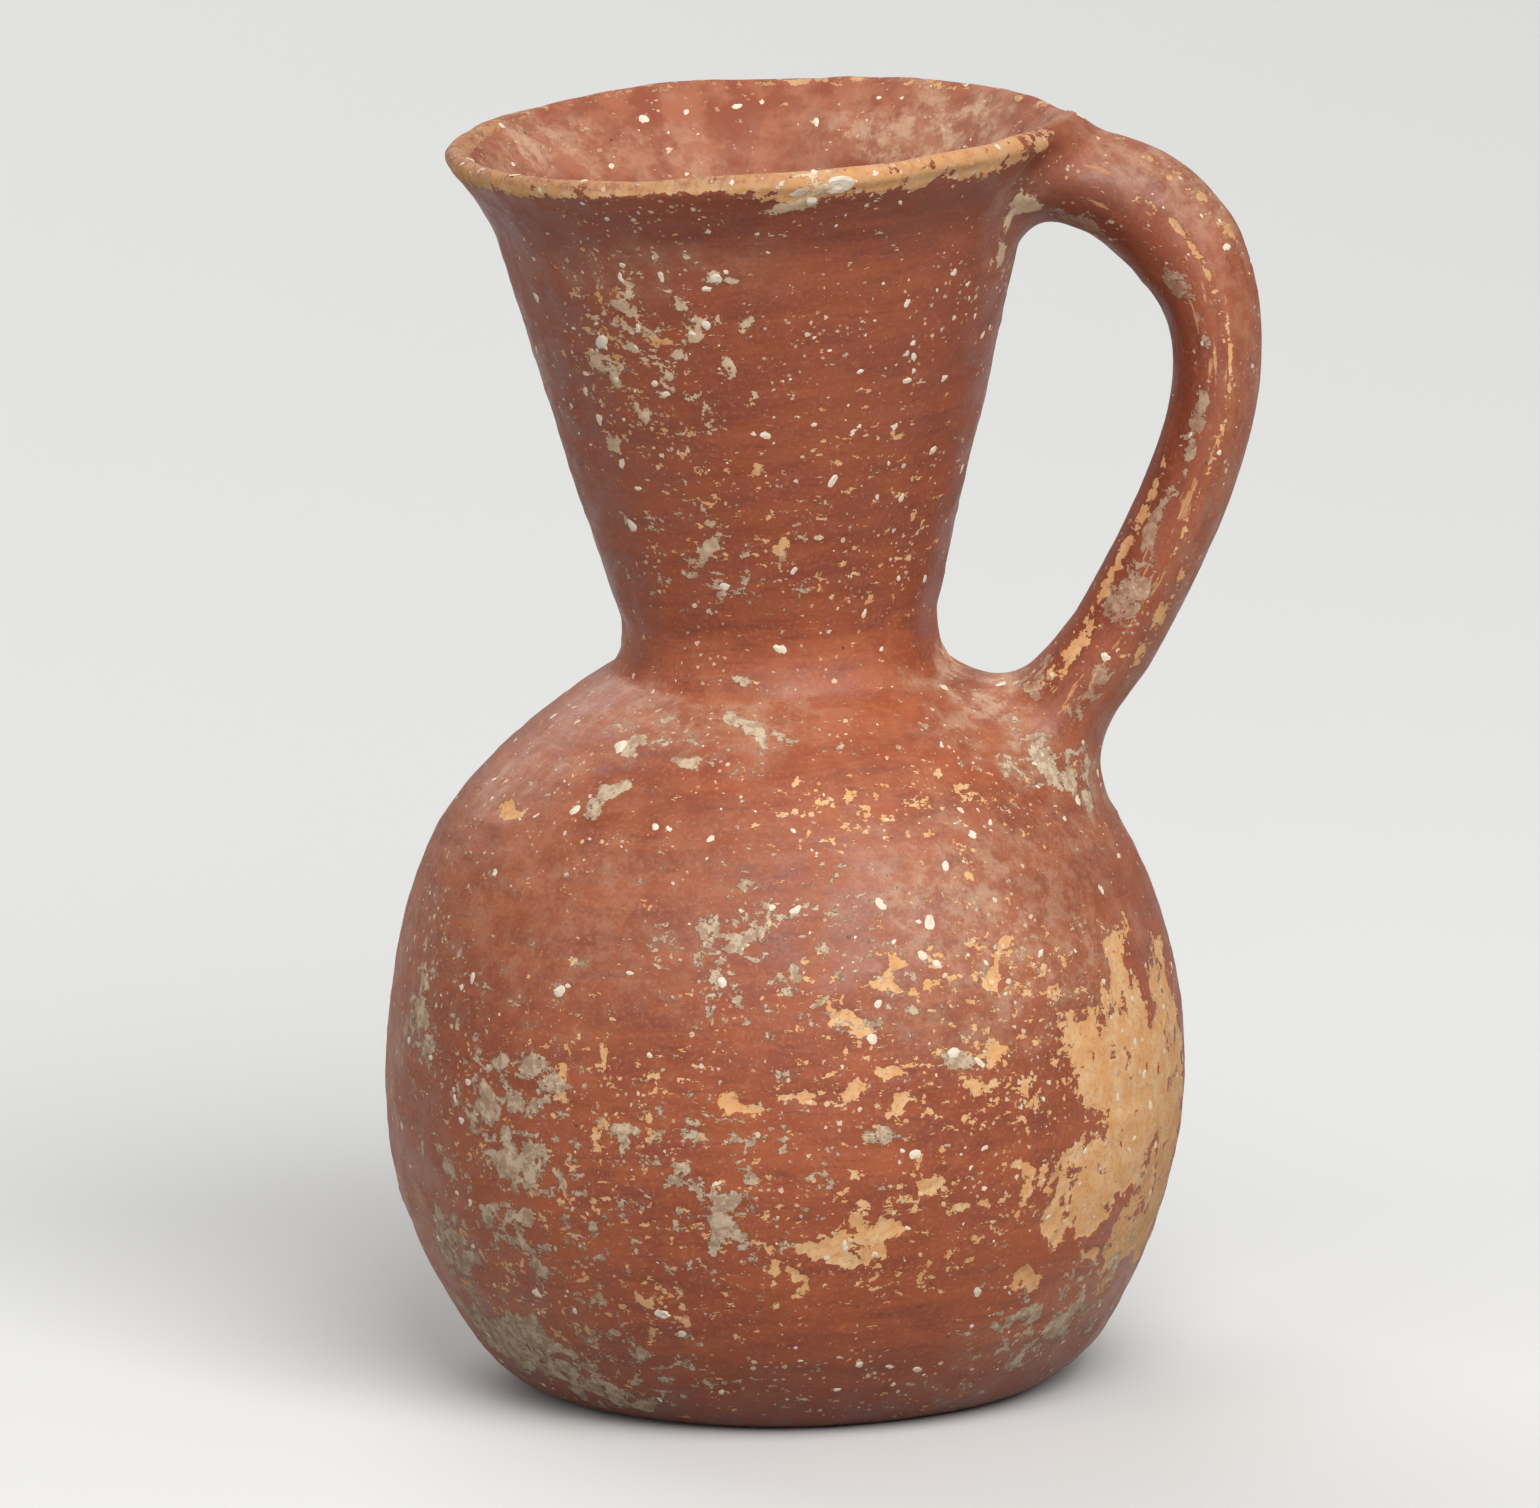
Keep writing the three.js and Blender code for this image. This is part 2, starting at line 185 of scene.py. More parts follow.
# Where a pale crust has stayed on: the same six values
CRUST_PATCHES = [
    (-64, 47, 3.2, 3.4, 0, 0.8), (-36, 44, 6.5, 2, 0, 0.85), (-43, 38, 3.4, 3, 0, 0.8),
    (-36, 34, 5.4, 4, 10, 0.8), (-39, 26, 4.2, 4, 0, 0.8), (-58, 18, 4.6, 5.6, 30, 0.8),
    (-50, 9, 11, 5, 0, 0.95), (-33, 4, 9, 2.6, 0, 0.9), (-6, 30, 4.4, 3.2, 0, 0.75),
    (-12, 34, 1.4, 2.2, 0, 0.8), (-4, 25, 2, 3, 0, 0.75), (-20, 39, 2.6, 2, 0, 0.65),
    (-63, 39, 2, 3.5, 0, 0.7), (-6, 53, 1.9, 2.2, 0, 0.68), (-2, 60, 2.2, 1.2, 0, 0.68),
    (-36, 21, 3, 2, 0, 0.7), (-28, 17, 1.9, 1.3, 0, 0.75), (30, 46, 2.3, 1.2, 0, 0.85),
    (17, 38, 2.6, 1.2, -20, 0.7), (44, 14, 4.4, 3.6, 30, 0.7), (58, 11, 8, 3.4, 20, 0.72),
    (-30, 131, 1.6, 3, 0, 0.9), (-5, 133.5, 2.2, 1.8, 0, 0.88), (-14, 128.5, 1.6, 2.6, 0, 0.9),
    (-38, 123, 1.4, 3.4, 0, 0.8), (-30, 118, 1.4, 1.6, 0, 0.75), (-4, 123, 1.6, 1.2, 0, 0.75),
    (-42, 113, 1.6, 1.8, 0, 0.72), (-15, 101, 2.2, 1.3, 0, 0.7), (-14, 96, 1.3, 1.5, 0, 0.75),
    (-33, 73, 2.4, 1.6, 0, 0.9), (-20, 77, 2.8, 0.9, -15, 0.85), (-37, 78, 1.8, 1.3, 0, 0.8),
    (-10, 81, 1.4, 1.3, 0, 0.75), (-11, 85, 1.4, 0.7, 0, 0.75), (12, 142.6, 3.2, 1.5, 0, 0.85),
    (72, 135.5, 3, 3.5, 20, 0.85), (80, 137, 4, 2.5, 20, 0.85), (-82, 24, 2.3, 1.9, 0, 0.8),
    (-42, 34, 16, 20, 0, 0.38), (-62, 46, 6, 13, 0, 0.4), (-42, 8, 26, 8, 0, 0.44),
    (-8, 31, 13, 11, 0, 0.36), (56, 12, 18, 6, 20, 0.42), (-25, 124, 12, 14, 0, 0.34),
    (-12, 100, 14, 9, 0, 0.32), (-20, 79, 18, 4, 0, 0.36), (6, 58, 18, 12, 0, 0.34),
    (150, 30, 30, 20, 0, 0.38), (-120, 20, 26, 12, 0, 0.4), (-150, 60, 26, 14, 0, 0.34),
    (170, 126, 20, 10, 0, 0.36), (-100, 122, 14, 14, 0, 0.34), (84, 77, 5.4, 1.3, 15, 0.78),
    (70, 75, 5, 1.3, 0, 0.72), (78, 72, 6, 2.3, -20, 0.78), (77, 75, 14, 5, 0, 0.4),
]

# Where only a thin pale film is left, and where a broad sheen on the belly is painted in as paler film: the
# same six values
FILM_AND_SHEEN_PATCHES = [
    (-32, 80, 18, 5, 0, 0.9), (-62, 72, 10, 8, 0, 0.6), (88, 83, 10, 3.4, 0, 1.5),
    (80, 79, 14, 3, 0, 1.5), (74, 75, 9, 3, 0, 1.3), (80, 70, 6, 5, 0, 1), (-10, 64, 50, 12, 0, 0.12),
    (44, 60, 20, 12, 0, 0.9), (-36, 60, 22, 11, 0, 0.45), (-70, 52, 9, 18, 0, 0.5),
    (-66, 24, 9, 14, 0, 0.35), (-50, 8, 20, 8, 0, 0.2), (56, 12, 16, 6, 20, 0.5),
    (-20, 135, 14, 4, 0, 0.35), (66, 138, 5, 6, 20, 0.45), (150, 78, 20, 6, 0, 0.9),
    (-140, 70, 20, 10, 0, 0.6), (120, 10, 24, 8, 0, 0.8), (-130, 12, 22, 8, 0, 0.8),
    (180, 50, 26, 14, 0, 0.4),
]

# Blotches inside the mouth, with the same six values
INSIDE_PATCHES = [
    (-118, 140, 12, 5, 0, 1.2), (-150, 137, 10, 6, 20, 0.75), (-95, 137, 8, 6, 0, 0.8),
    (140, 140, 12, 5, 0, 1.6), (115, 137, 10, 6, -20, 1.3), (170, 138, 8, 6, 0, 0.5),
    (20, 130, 9, 6, 0, 0.8), (-60, 120, 8, 8, 0, 0.8), (80, 115, 8, 8, 0, 0.8),
]

# Crust on the handle: distance along it, degrees round it from its front to its inner side, half sizes,
# and strength
HANDLE_CRUST = [
    (10, 55, 4, 3.2, 0.85), (27, 20, 3, 1.8, 0.7), (34, 12, 3, 1.2, 0.7), (46, 15, 7, 1.3, 0.7),
    (57, 25, 6, 1.3, 0.7), (66, 12, 5, 2.8, 0.85), (77, -10, 4, 2, 0.7), (82, 60, 5, 3, 0.75),
    (30, 170, 6, 3, 0.75), (60, 190, 7, 2.5, 0.75),
]

# Bare clay on the handle, with the same values
HANDLE_BARE = [
    (25, -14, 9, 0.45, 0.7), (40, -22, 10, 0.4, 0.75), (54, -16, 9, 0.4, 0.7), (62, 50, 12, 1.2, 0.75),
    (75, 40, 6, 1.5, 0.85), (20, -60, 8, 1.5, 0.45), (68, -45, 7, 1.4, 0.6), (45, 150, 14, 0.8, 0.75),
]

# The biggest grits that the front shows: turn, height, half length and the slant of the long side
PLACED_GRITS = [
    (19, 143.6, 1.8, 0), (12, 143.6, 1.0, 30), (14, 142.4, 0.7, 80), (-28, 135.4, 0.55, 0),
    (-28, 133.6, 0.75, 80), (-37, 125.2, 1.0, 80), (-46, 121.4, 0.5, 0), (-48, 119, 0.65, 80),
    (-70, 122.6, 0.65, 90), (-6, 133.4, 0.65, 40), (-8, 132.2, 0.75, 20), (-13, 127.2, 0.45, 0),
    (-46, 115.8, 0.65, 90), (40, 128.8, 0.55, 90), (58, 129.4, 0.45, 0), (42, 119.4, 0.55, 0),
    (44, 120.4, 0.45, 90), (20, 124.2, 0.35, 0), (28, 121.4, 0.45, 40), (3, 114.2, 0.55, 0),
    (22, 108.6, 0.75, 60), (46, 105, 0.55, 90), (56, 109.8, 0.65, 90), (-14, 96.2, 0.65, 30),
    (4, 88.4, 1.05, -35), (-38, 107.8, 0.5, 0), (-44, 102.6, 0.8, -40), (-38, 78, 0.8, 0),
    (-40, 71.4, 0.75, 50), (-21, 71, 0.45, 0), (-18, 71, 0.45, 0), (6, 62.6, 0.7, 40), (2, 63, 0.45, 0),
    (28, 60.8, 0.8, 70), (28, 56, 0.65, -60), (26, 57.4, 0.75, -60), (17, 48.2, 0.7, 0),
    (29, 46, 0.8, 20), (33, 45, 0.8, -40), (22, 35.4, 0.8, 0), (-6, 32.6, 0.7, 0), (-20, 55.8, 0.5, 0),
    (-32, 52.6, 0.85, 30), (-6, 55.2, 0.7, -60), (-38, 17, 0.8, -20), (-16, 15.8, 0.95, 0),
    (-14, 13.6, 0.65, 0), (41, 68.8, 0.75, -30), (66, 60.2, 0.65, 90), (34, 17.8, 0.7, 0),
    (16, 9.6, 0.5, 0), (21, 9, 0.55, 0), (26, 8.2, 0.65, 0), (-52, 51.4, 0.45, 0), (-16, 46.8, 0.45, 0),
    (52, 32.2, 0.5, 60), (60, 37.6, 0.5, 90), (60, 47, 0.4, 90), (66, 43, 0.45, 90), (68, 39, 0.5, 60),
    (70, 35, 0.5, 90), (76, 40, 0.4, 0), (63, 31, 0.35, 0), (73, 30, 0.4, 90), (78, 45, 0.4, 90),
    (74, 69.2, 1.1, 60),
]
SEED = 7
# Patches on the side that isn't seen: how many, the widest, the strongest, and where and how they may lie
UNSEEN_BARE = (26, 5, 0.95)
UNSEEN_CRUST = (30, 7, 0.8)
UNSEEN_TURNS = (95, 270)
UNSEEN_HEIGHTS = (6, 130)
UNSEEN_SLANTS = (-25, 25)
UNSEEN_LONGER = (1, 1.6)
UNSEEN_LOWER = (0.5, 1)
UNSEEN_WEAKEST = 0.5
RANDOM_GRITS = 1500
LEAST_GRIT = 0.15
GRIT_SPREAD = 0.5
GRIT_UNEVEN = 0.7
GRIT_FLATNESS = 0.3
GRIT_BURIED = 0.12
GRIT_NARROWNESS = (0.55, 0.95)
GRIT_CLUSTERING = (-1.4, 0.9)
GRIT_FLOOR = 2.0  # no grit sits lower than this
OFF_HANDLE_COST = 20  # millimetres that a placed grit would rather move than sit on the handle
LEVEL_GROUND = 0.99  # a slope that points up more than this has no side of its own
TEAR = 1.5  # how far a patch's outline is torn, over its half size
TEAR_LUMPS = 4.0
TEAR_SIZE = 2.5  # outlines of bigger patches are torn no further than one of this half size
PATCH_CORE = 0.4  # a patch is whole up to this share of its half size, and ends at the next
PATCH_END = 1.6

# The camera, fitted to the photograph
PHOTO_WIDTH = 1540
EYE_DISTANCE = 2700.0
EYE_ELEVATION = math.radians(11.68)
EYE_AZIMUTH = math.radians(4.0)
EYE_ROLL = math.radians(0.72)
FOCAL_PIXELS = 23530.0
SENSOR_WIDTH = 36.0
AIM_HEIGHT = 74.0
AIM_RIGHT = 1.38  # how far the aimed point stands off the middle of the frame
AIM_UP = 1.33


def srgb(red, green, blue):
    """A colour given in 0 to 255 steps, as the shader wants it."""
    steps = np.array([red, green, blue]) / 255
    linear = np.where(steps <= 0.04045, steps / 12.92, ((steps + 0.055) / 1.055) ** 2.4)
    return (*linear, 1.0)


def leaning(degrees):
    """The direction that leans outward from straight up."""
    angle = math.radians(degrees)
    return np.array([math.sin(angle), math.cos(angle)])


def bezier(corners, steps=40):
    """Points along the Bezier curve of any number of corners."""
    points = np.array([corners] * (steps + 1), float)
    share = np.linspace(0, 1, steps + 1)[:, None, None]
    while points.shape[1] > 1:
        points = points[:, :-1] * (1 - share) + points[:, 1:] * share
    return points[:, 0]


def smooth_step(value, low, high):
    """0 below low, 1 above high, and a soft rise between."""
    share = np.clip((value - low) / (high - low), 0, 1)
    return share * share * (3 - 2 * share)


def wall_outline():
    """Radius and height of the wall's outside, from the middle of the base up to the lip."""
    foot = np.array([FOOT_RADIUS, FLOOR_TOP])
    belly = np.array([BELLY_RADIUS, BELLY_HEIGHT])
    mouth = np.array([MOUTH_RADIUS, SEAT_HEIGHT])
    neck_foot = np.array([NECK_FOOT_RADIUS, SEAT_HEIGHT])
    neck_top = np.array([NECK_TOP_RADIUS, RIM_SEAM])
    neck_way = (neck_top - neck_foot) / NECK_LENGTH
    neck_slope = neck_way / np.linalg.norm(neck_way)
    crease_top = neck_foot + neck_way * CREASE_RISE
    lip = np.array([LIP_RADIUS, RIM_SEAM + LIP_RISE])
    edge_corner = foot - leaning(FOOT_LEAN) * FLOOR_TOP / leaning(FOOT_LEAN)[1]
    runs = [
        bezier([(0, 0), (FLAT_RADIUS, 0)]),
        bezier([(FLAT_RADIUS, 0), edge_corner, foot]),
        bezier([foot, foot + leaning(FOOT_LEAN) * FOOT_PULL, belly - (0, LOWER_SWELL), belly]),
        bezier([belly, belly + (0, SHOULDER_SWELL), mouth - leaning(-MOUTH_LEAN) * MOUTH_PULL, mouth]),
        bezier([mouth, (CREASE_RADIUS, SEAT_HEIGHT + CREASE_DEPTH), crease_top]),
        bezier([crease_top, neck_top]),
        bezier([neck_top, neck_top + neck_slope * LIP_PULL, lip - leaning(LIP_FLARE) * LIP_TURN, lip]),
    ]
    return np.concatenate([runs[0]] + [run[1:] for run in runs[1:]])


def handle_line():
    """The handle's middle line: from inside the rim, over the crown and down into the shoulder."""
    root = np.array(HANDLE_ROOT)
    way = leaning(HANDLE_ROOT_LEAN)
    start_x, start_z = HANDLE_START
    bow = (HANDLE_REACH, HANDLE_BOW_HEIGHT)
    upper = bezier([
        HANDLE_START,
        (start_x + HANDLE_TOP_PULL, start_z),
        (HANDLE_REACH, HANDLE_BOW_HEIGHT + HANDLE_BOW_PULL_UP),
        bow,
    ])
    lower = bezier([
        bow,
        (HANDLE_REACH, HANDLE_BOW_HEIGHT - HANDLE_BOW_PULL_DOWN),
        root + way * HANDLE_ROOT_PULL,
        root - way * HANDLE_BURY,
    ])
    return np.concatenate([upper, lower[1:]])


def lengths_along(line):
    """The distance along a line of points, at each of them."""
    return np.concatenate([[0], np.cumsum(np.linalg.norm(np.diff(line, axis=0), axis=1))])


def nearest_on(line, points):
    """For each point its distance along the line and its offset, positive on the line's right."""
    ways = np.diff(line, axis=0)
    lengths = np.linalg.norm(ways, axis=1)
    before = lengths_along(line)[:-1]
    along = np.empty(len(points))
    offset = np.empty(len(points))
    for chunk in np.array_split(np.arange(len(points)), len(points) // 4000 + 1):
        gaps = points[chunk, None] - line[:-1]
        share = np.clip((gaps * ways).sum(-1) / lengths**2, 0, 1)
        gaps -= share[..., None] * ways
        distance = np.hypot(gaps[..., 0], gaps[..., 1])
        best = distance.argmin(1)
        rows = np.arange(len(chunk))
        gap = gaps[rows, best]
        side = ways[best, 1] * gap[:, 0] - ways[best, 0] * gap[:, 1]
        along[chunk] = before[best] + share[rows, best] * lengths[best]
        offset[chunk] = np.where(side >= 0, 1, -1) * distance[rows, best]
    return along, offset


class Chart:
    """Values worked out once on a flat grid and then read anywhere on it."""

    def __init__(self, line, low, high):
        self.low = np.array(low, float)
        size = np.ceil((np.array(high) - self.low) / TABLE_STEP).astype(int) + 1
        grid = np.stack(np.meshgrid(*[np.arange(n) for n in size], indexing="ij"), -1)
        points = self.low + grid.reshape(-1, 2) * TABLE_STEP
        along, offset = nearest_on(line, points)
        self.size = size
        self.along = along.reshape(size).astype(np.float32)
        self.offset = offset.reshape(size).astype(np.float32)

    def read(self, values, first, second):
        """The values between the grid's points."""
        u = np.clip((first - self.low[0]) / TABLE_STEP, 0, self.size[0] - 1.001)
        v = np.clip((second - self.low[1]) / TABLE_STEP, 0, self.size[1] - 1.001)
        i = u.astype(np.int32)
        j = v.astype(np.int32)
        u = u - i
        v = v - j
        near = values[i, j] * (1 - v) + values[i, j + 1] * v
        far = values[i + 1, j] * (1 - v) + values[i + 1, j + 1] * v
        return near * (1 - u) + far * u


OUTLINE = wall_outline()


def wall_middle():
    """The line midway through the wall, and the wall's thickness along it."""
    way = np.gradient(OUTLINE, axis=0)
    way /= np.linalg.norm(way, axis=1, keepdims=True)
    thickness = np.interp(OUTLINE[:, 1], THICKNESS_HEIGHTS, THICKNESSES)
    inward = np.stack([-way[:, 1], way[:, 0]], 1)
    return OUTLINE + inward * thickness[:, None] / 2, thickness


MIDDLE, THICKNESS = wall_middle()
MIDDLE_LENGTHS = lengths_along(MIDDLE)
WALL = Chart(MIDDLE, *WALL_CHART)
WALL_HALF = np.interp(WALL.along, MIDDLE_LENGTHS, THICKNESS / 2).astype(np.float32)
WALL_SKIN = np.abs(WALL.offset) - WALL_HALF
WALL_HOLLOW = -WALL.offset - WALL_HALF
HANDLE_LINE = handle_line()
HANDLE_LENGTHS = lengths_along(HANDLE_LINE)
HANDLE = Chart(HANDLE_LINE, *HANDLE_CHART)


def upright(points):
    """Points moved back to where they were before the neck leaned."""
    x = points[:, 0]
    z = points[:, 2]
    old_x = x
    old_z = z
    for _ in range(2):
        rise = np.maximum(old_z - SEAT_HEIGHT, 0)
        old_x = x + NECK_LEAN * rise
        old_z = z - NECK_LEAN * np.minimum(rise / LEAN_EASE, 1) * old_x
    return old_x, points[:, 1], old_z


def hand_wobble(x, y, z):
    """How far the hand-shaped wall stands out from a true round, and how far its rim waves up."""
    turn = np.arctan2(x, -y)
    body = 0
    for reach, waves, start, climb in WALL_WAVES:
        body = body + reach * np.cos(waves * turn + start + z / climb)
    aside = (turn - SWELLING_TURN) / SWELLING_WIDTH
    above = (z - SWELLING_HEIGHT) / SWELLING_RISE
    swelling = SWELLING * np.exp(-(aside**2) - above**2)
    wave = sum(reach * np.cos(waves * turn + start) for reach, waves, start in RIM_WAVES) - RIM_DROP
    return body * smooth_step(z, *WALL_WAVE_HEIGHTS) + swelling, wave * smooth_step(z, *RIM_WAVE_HEIGHTS)


def wave_along(along, wave):
    """One of the handle's waves at distances along it."""
    reach, length, start = wave
    return reach * np.sin(along / length + start)


def handle_section(x, y, z):
    """Distance along the handle, offsets from its middle over its half thickness and half width, and the
    first offset in millimetres."""
    along = HANDLE.read(HANDLE.along, x, z)
    offset = HANDLE.read(HANDLE.offset, x, z)
    length = HANDLE_LENGTHS[-1]
    crown = HANDLE_LENGTHS[len(HANDLE_LENGTHS) // 2] / 2
    swell = smooth_step(1 - np.abs(along - crown) / crown, 0, 1)
    inward = np.interp(along, SWELL_PLACES, INWARD_SWELL)
    outward = np.interp(along, SWELL_PLACES, OUTWARD_SWELL)
    thickness = HANDLE_THICKNESS + HANDLE_CROWN_EXTRA * swell + wave_along(along, THICKNESS_WAVE)
    thickness = thickness + inward + outward
    offset = offset - (inward - outward) / 2
    ends = np.minimum(along, length - along)
    flare = HANDLE_FLARE * smooth_step(-ends, -FLARE_START, -FLARE_FULL)
    width = HANDLE_WIDTH + flare + wave_along(along, WIDTH_WAVE)
    across = y - wave_along(along, SWAY_WAVE)
    return along, offset / (thickness / 2), across / (width / 2), offset


def handle_field(x, y, z):
    """Roughly how far points are from the handle's skin, less than nothing inside it."""
    distance = np.full(len(x), FAR, np.float32)
    least_x, least_z = HANDLE_CHART[0]
    near = (x > least_x + 1) & (z > least_z + 1) & (np.abs(y) < HANDLE_SIDE)
    _, out, across, offset = handle_section(x[near], y[near], z[near])
    power = HANDLE_SQUARENESS
    reach = (np.abs(out) ** power + np.abs(across) ** power) ** (1 / power)
    distance[near] = np.hypot(offset, y[near]) * (1 - 1 / np.maximum(reach, 0.05))
    return distance


def jug_field(points):
    """Roughly how far points are from the jug's skin, less than nothing inside the clay."""
    x, y, z = upright(points)
    bulge, wave = hand_wobble(x, y, z)
    radius = np.hypot(x, y) - bulge
    height = z - wave
    wall = WALL.read(WALL_SKIN, radius, height)
    hollow = WALL.read(WALL_HOLLOW, radius, height)
    handle = handle_field(x, y, height)
    fillet = np.interp(z, FILLET_HEIGHTS, [LOWER_FILLET, UPPER_FILLET])
    share = np.clip(0.5 + 0.5 * (handle - wall) / fillet, 0, 1)
    both = handle + (wall - handle) * share - fillet * share * (1 - share)
    return np.maximum(np.maximum(both, hollow), -points[:, 2])


def field_slope(points):
    """The field's slope, which points out of the clay."""
    steps = SLOPE_REACH * np.eye(3)
    slopes = [(jug_field(points + step) - jug_field(points - step)) / (2 * SLOPE_REACH) for step in steps]
    return np.stack(slopes, 1)


def field_grid():
    """The field on a grid of points round the jug."""
    low = np.array(CAD_BOX[0]) / MM - GRID_MARGIN
    high = np.array(CAD_BOX[1]) / MM + GRID_MARGIN
    axes = [np.arange(a, b, GRID_STEP) for a, b in zip(low, high)]
    flat = np.stack(np.meshgrid(axes[0], axes[1], indexing="ij"), -1).reshape(-1, 2)
    layers = []
    for height in axes[2]:
        points = np.column_stack([flat, np.full(len(flat), height)])
        layers.append(jug_field(points).astype(np.float32).reshape(len(axes[0]), len(axes[1])))
    return np.stack(layers, 2), low


def surface_net(values, low):
    """One corner in each grid cell that the skin crosses, and a face round each grid edge it crosses."""
    inside = values < 0
    corners = list(itertools.product((0, 1), repeat=3))
    size = np.array(values.shape) - 1
    filled = np.zeros(size, np.int8)
    for a, b, c in corners:
        filled += inside[a:a + size[0], b:b + size[1], c:c + size[2]]
    active = (filled > 0) & (filled < 8)
    cells = np.argwhere(active)
    index = np.full(size, -1, np.int32)
    index[active] = np.arange(len(cells))
    total = np.zeros((len(cells), 3))
    hits = np.zeros(len(cells))
    faces = []
    steps = np.eye(3, dtype=int)
    for axis in range(3):
        for corner in corners:
            if corner[axis]:
                continue
            start = values[tuple((cells + corner).T)]
            end = values[tuple((cells + corner + steps[axis]).T)]
            cross = (start < 0) != (end < 0)
            share = start[cross] / (start[cross] - end[cross])
            total[cross] += np.array(corner) + share[:, None] * steps[axis]
            hits[cross] += 1
        ahead = np.roll(inside, -1, axis)
        edges = np.argwhere(inside != ahead)
        first = steps[(axis + 1) % 3]
        second = steps[(axis + 2) % 3]
        ring = [edges - first - second, edges - second, edges, edges - first]
        quads = np.stack([index[tuple(cell.T)] for cell in ring], 1)
        entering = ~inside[tuple(edges.T)]
        quads[entering] = quads[entering][:, ::-1]
        faces.append(quads)
    vertices = low + (cells + total / hits[:, None]) * GRID_STEP
    return vertices, np.concatenate(faces)


def settle(vertices, faces):
    """Evens the mesh out along the skin."""
    count = len(vertices)
    starts = faces.ravel()
    ends = np.roll(faces, -1, axis=1).ravel()
    share = np.bincount(starts, minlength=count) + np.bincount(ends, minlength=count)
    for _ in range(SETTLE_ROUNDS):
        sums = [
            np.bincount(starts, vertices[ends, i], count) + np.bincount(ends, vertices[starts, i], count)
            for i in range(3)
        ]
        middle = np.stack(sums, 1) / share[:, None]
        vertices = vertices + SETTLE_STEP * (middle - vertices)
        slope = field_slope(vertices)
        step = jug_field(vertices) / np.maximum((slope**2).sum(1), LEAST_SLOPE)
        vertices = vertices - step[:, None] * slope
    return vertices


# Joints between the pieces: levels round the wall, and cuts square to the handle's upper and lower end
LEVELS = [12.0, BELLY_HEIGHT, 93.0, 128.5]
UPPER_CUT = ((40.5, 139.0), (1.0, 0.0))
LOWER_CUT = ((41.5, 93.5), (0.6, 0.8))
NECK_REACH = 27.0  # nothing of the neck stands further out than this where the handle passes it
CUT_NEAR = 3.0  # faces further than this from a level aren't cut at it
CUT_SNAP = 0.04  # corners this near to a cut count as lying on it
CAP_REACH = 1.5  # open edges this near to a cut belong to it
PIECES = ["jug_base", "jug_lower_wall", "jug_shoulder", "jug_neck", "jug_rim", "jug_handle"]


def cut(shape, faces, place, way):
    """Cuts some of the faces along a plane, and draws the corners near it onto it."""
    place = Vector(place)
    way = Vector(way).normalized()
    edges = {edge for face in faces for edge in face.edges}
    corners = {corner for face in faces for corner in face.verts}
    bisected = bmesh.ops.bisect_plane(
        shape, geom=[*faces, *edges, *corners], plane_co=place, plane_no=way, dist=CUT_SNAP * MM
    )
    for corner in bisected["geom_cut"]:
        if isinstance(corner, bmesh.types.BMVert):
            corner.co -= way * way.dot(corner.co - place)


def cut_joints(mesh):
    """Cuts the mesh along the joints between its pieces."""
    shape = bmesh.new()
    shape.from_mesh(mesh)
    for level in LEVELS:
        height = level * MM
        near = [face for face in shape.faces if abs(face.verts[0].co.z - height) < CUT_NEAR * MM]
        if level == LEVELS[2]:
            near = [face for face in near if face.verts[0].co.x < NECK_REACH * MM]
        cut(shape, near, (0, 0, height), (0, 0, 1))
    for (x, z), (way_x, way_z) in (UPPER_CUT, LOWER_CUT):
        centre = Vector((x, 0, z)) * MM
        near = [face for face in shape.faces if (face.verts[0].co - centre).length < HANDLE_WIDTH * MM]
        cut(shape, near, centre, (way_x, 0, way_z))
    shape.to_mesh(mesh)
    shape.free()


# Big odd numbers that scramble a lattice corner's place, and the bits that are kept
SCRAMBLE_PLACE = np.array([73856093, 19349663, 83492791])
SCRAMBLE_SEED = 40503001
SCRAMBLE_ALL = 1274126177
LONG_WORD = 0xFFFFFFFF
SHORT_WORD = 0xFFFF


def corner_values(cells, seed):
    """A repeatable number from -1 to 1 for each corner of the noise's lattice."""
    mixed = np.bitwise_xor.reduce(cells * SCRAMBLE_PLACE, axis=1) ^ seed * SCRAMBLE_SEED
    mixed = mixed & LONG_WORD
    mixed = ((mixed ^ (mixed >> 13)) * SCRAMBLE_ALL) & LONG_WORD
    mixed = (mixed ^ (mixed >> 16)) & SHORT_WORD
    return mixed / (SHORT_WORD / 2) - 1


def lattice_noise(points, size, seed):
    """Soft noise from -1 to 1 with lumps of a given size."""
    scaled = points / size
    cell = np.floor(scaled).astype(np.int64)
    part = scaled - cell
    part = part * part * (3 - 2 * part)
    total = np.zeros(len(points))
    for corner in itertools.product((0, 1), repeat=3):
        weight = np.where(np.array(corner, bool), part, 1 - part).prod(axis=1)
        total += weight * corner_values(cell + corner, seed)
    return total


def fractal(points, size, octaves, seed):
    """Noise with finer and weaker noise on top."""
    return sum(lattice_noise(points, size / 2**i, seed + i) / 2**i for i in range(octaves))


# Distances in millimetres over which the skin goes from one part of the jug to the next
HANDLE_FADE = (0, 4)
INSIDE_FADE = (0.2, 1.4)
ROOT_FADE = (-5, 0)
OFF_HANDLE_FADE = (1, 7)
# How far strokes are drawn out: round the wall and up it, and along, across and out of the handle
WALL_STROKE = (0.3, 0.3, 1.6)
STROKE_CLIMB = 1.3  # strokes round the wall climb and fall by this much
STROKE_START = 0.7
HANDLE_STROKE = (0.25, 9, 7)


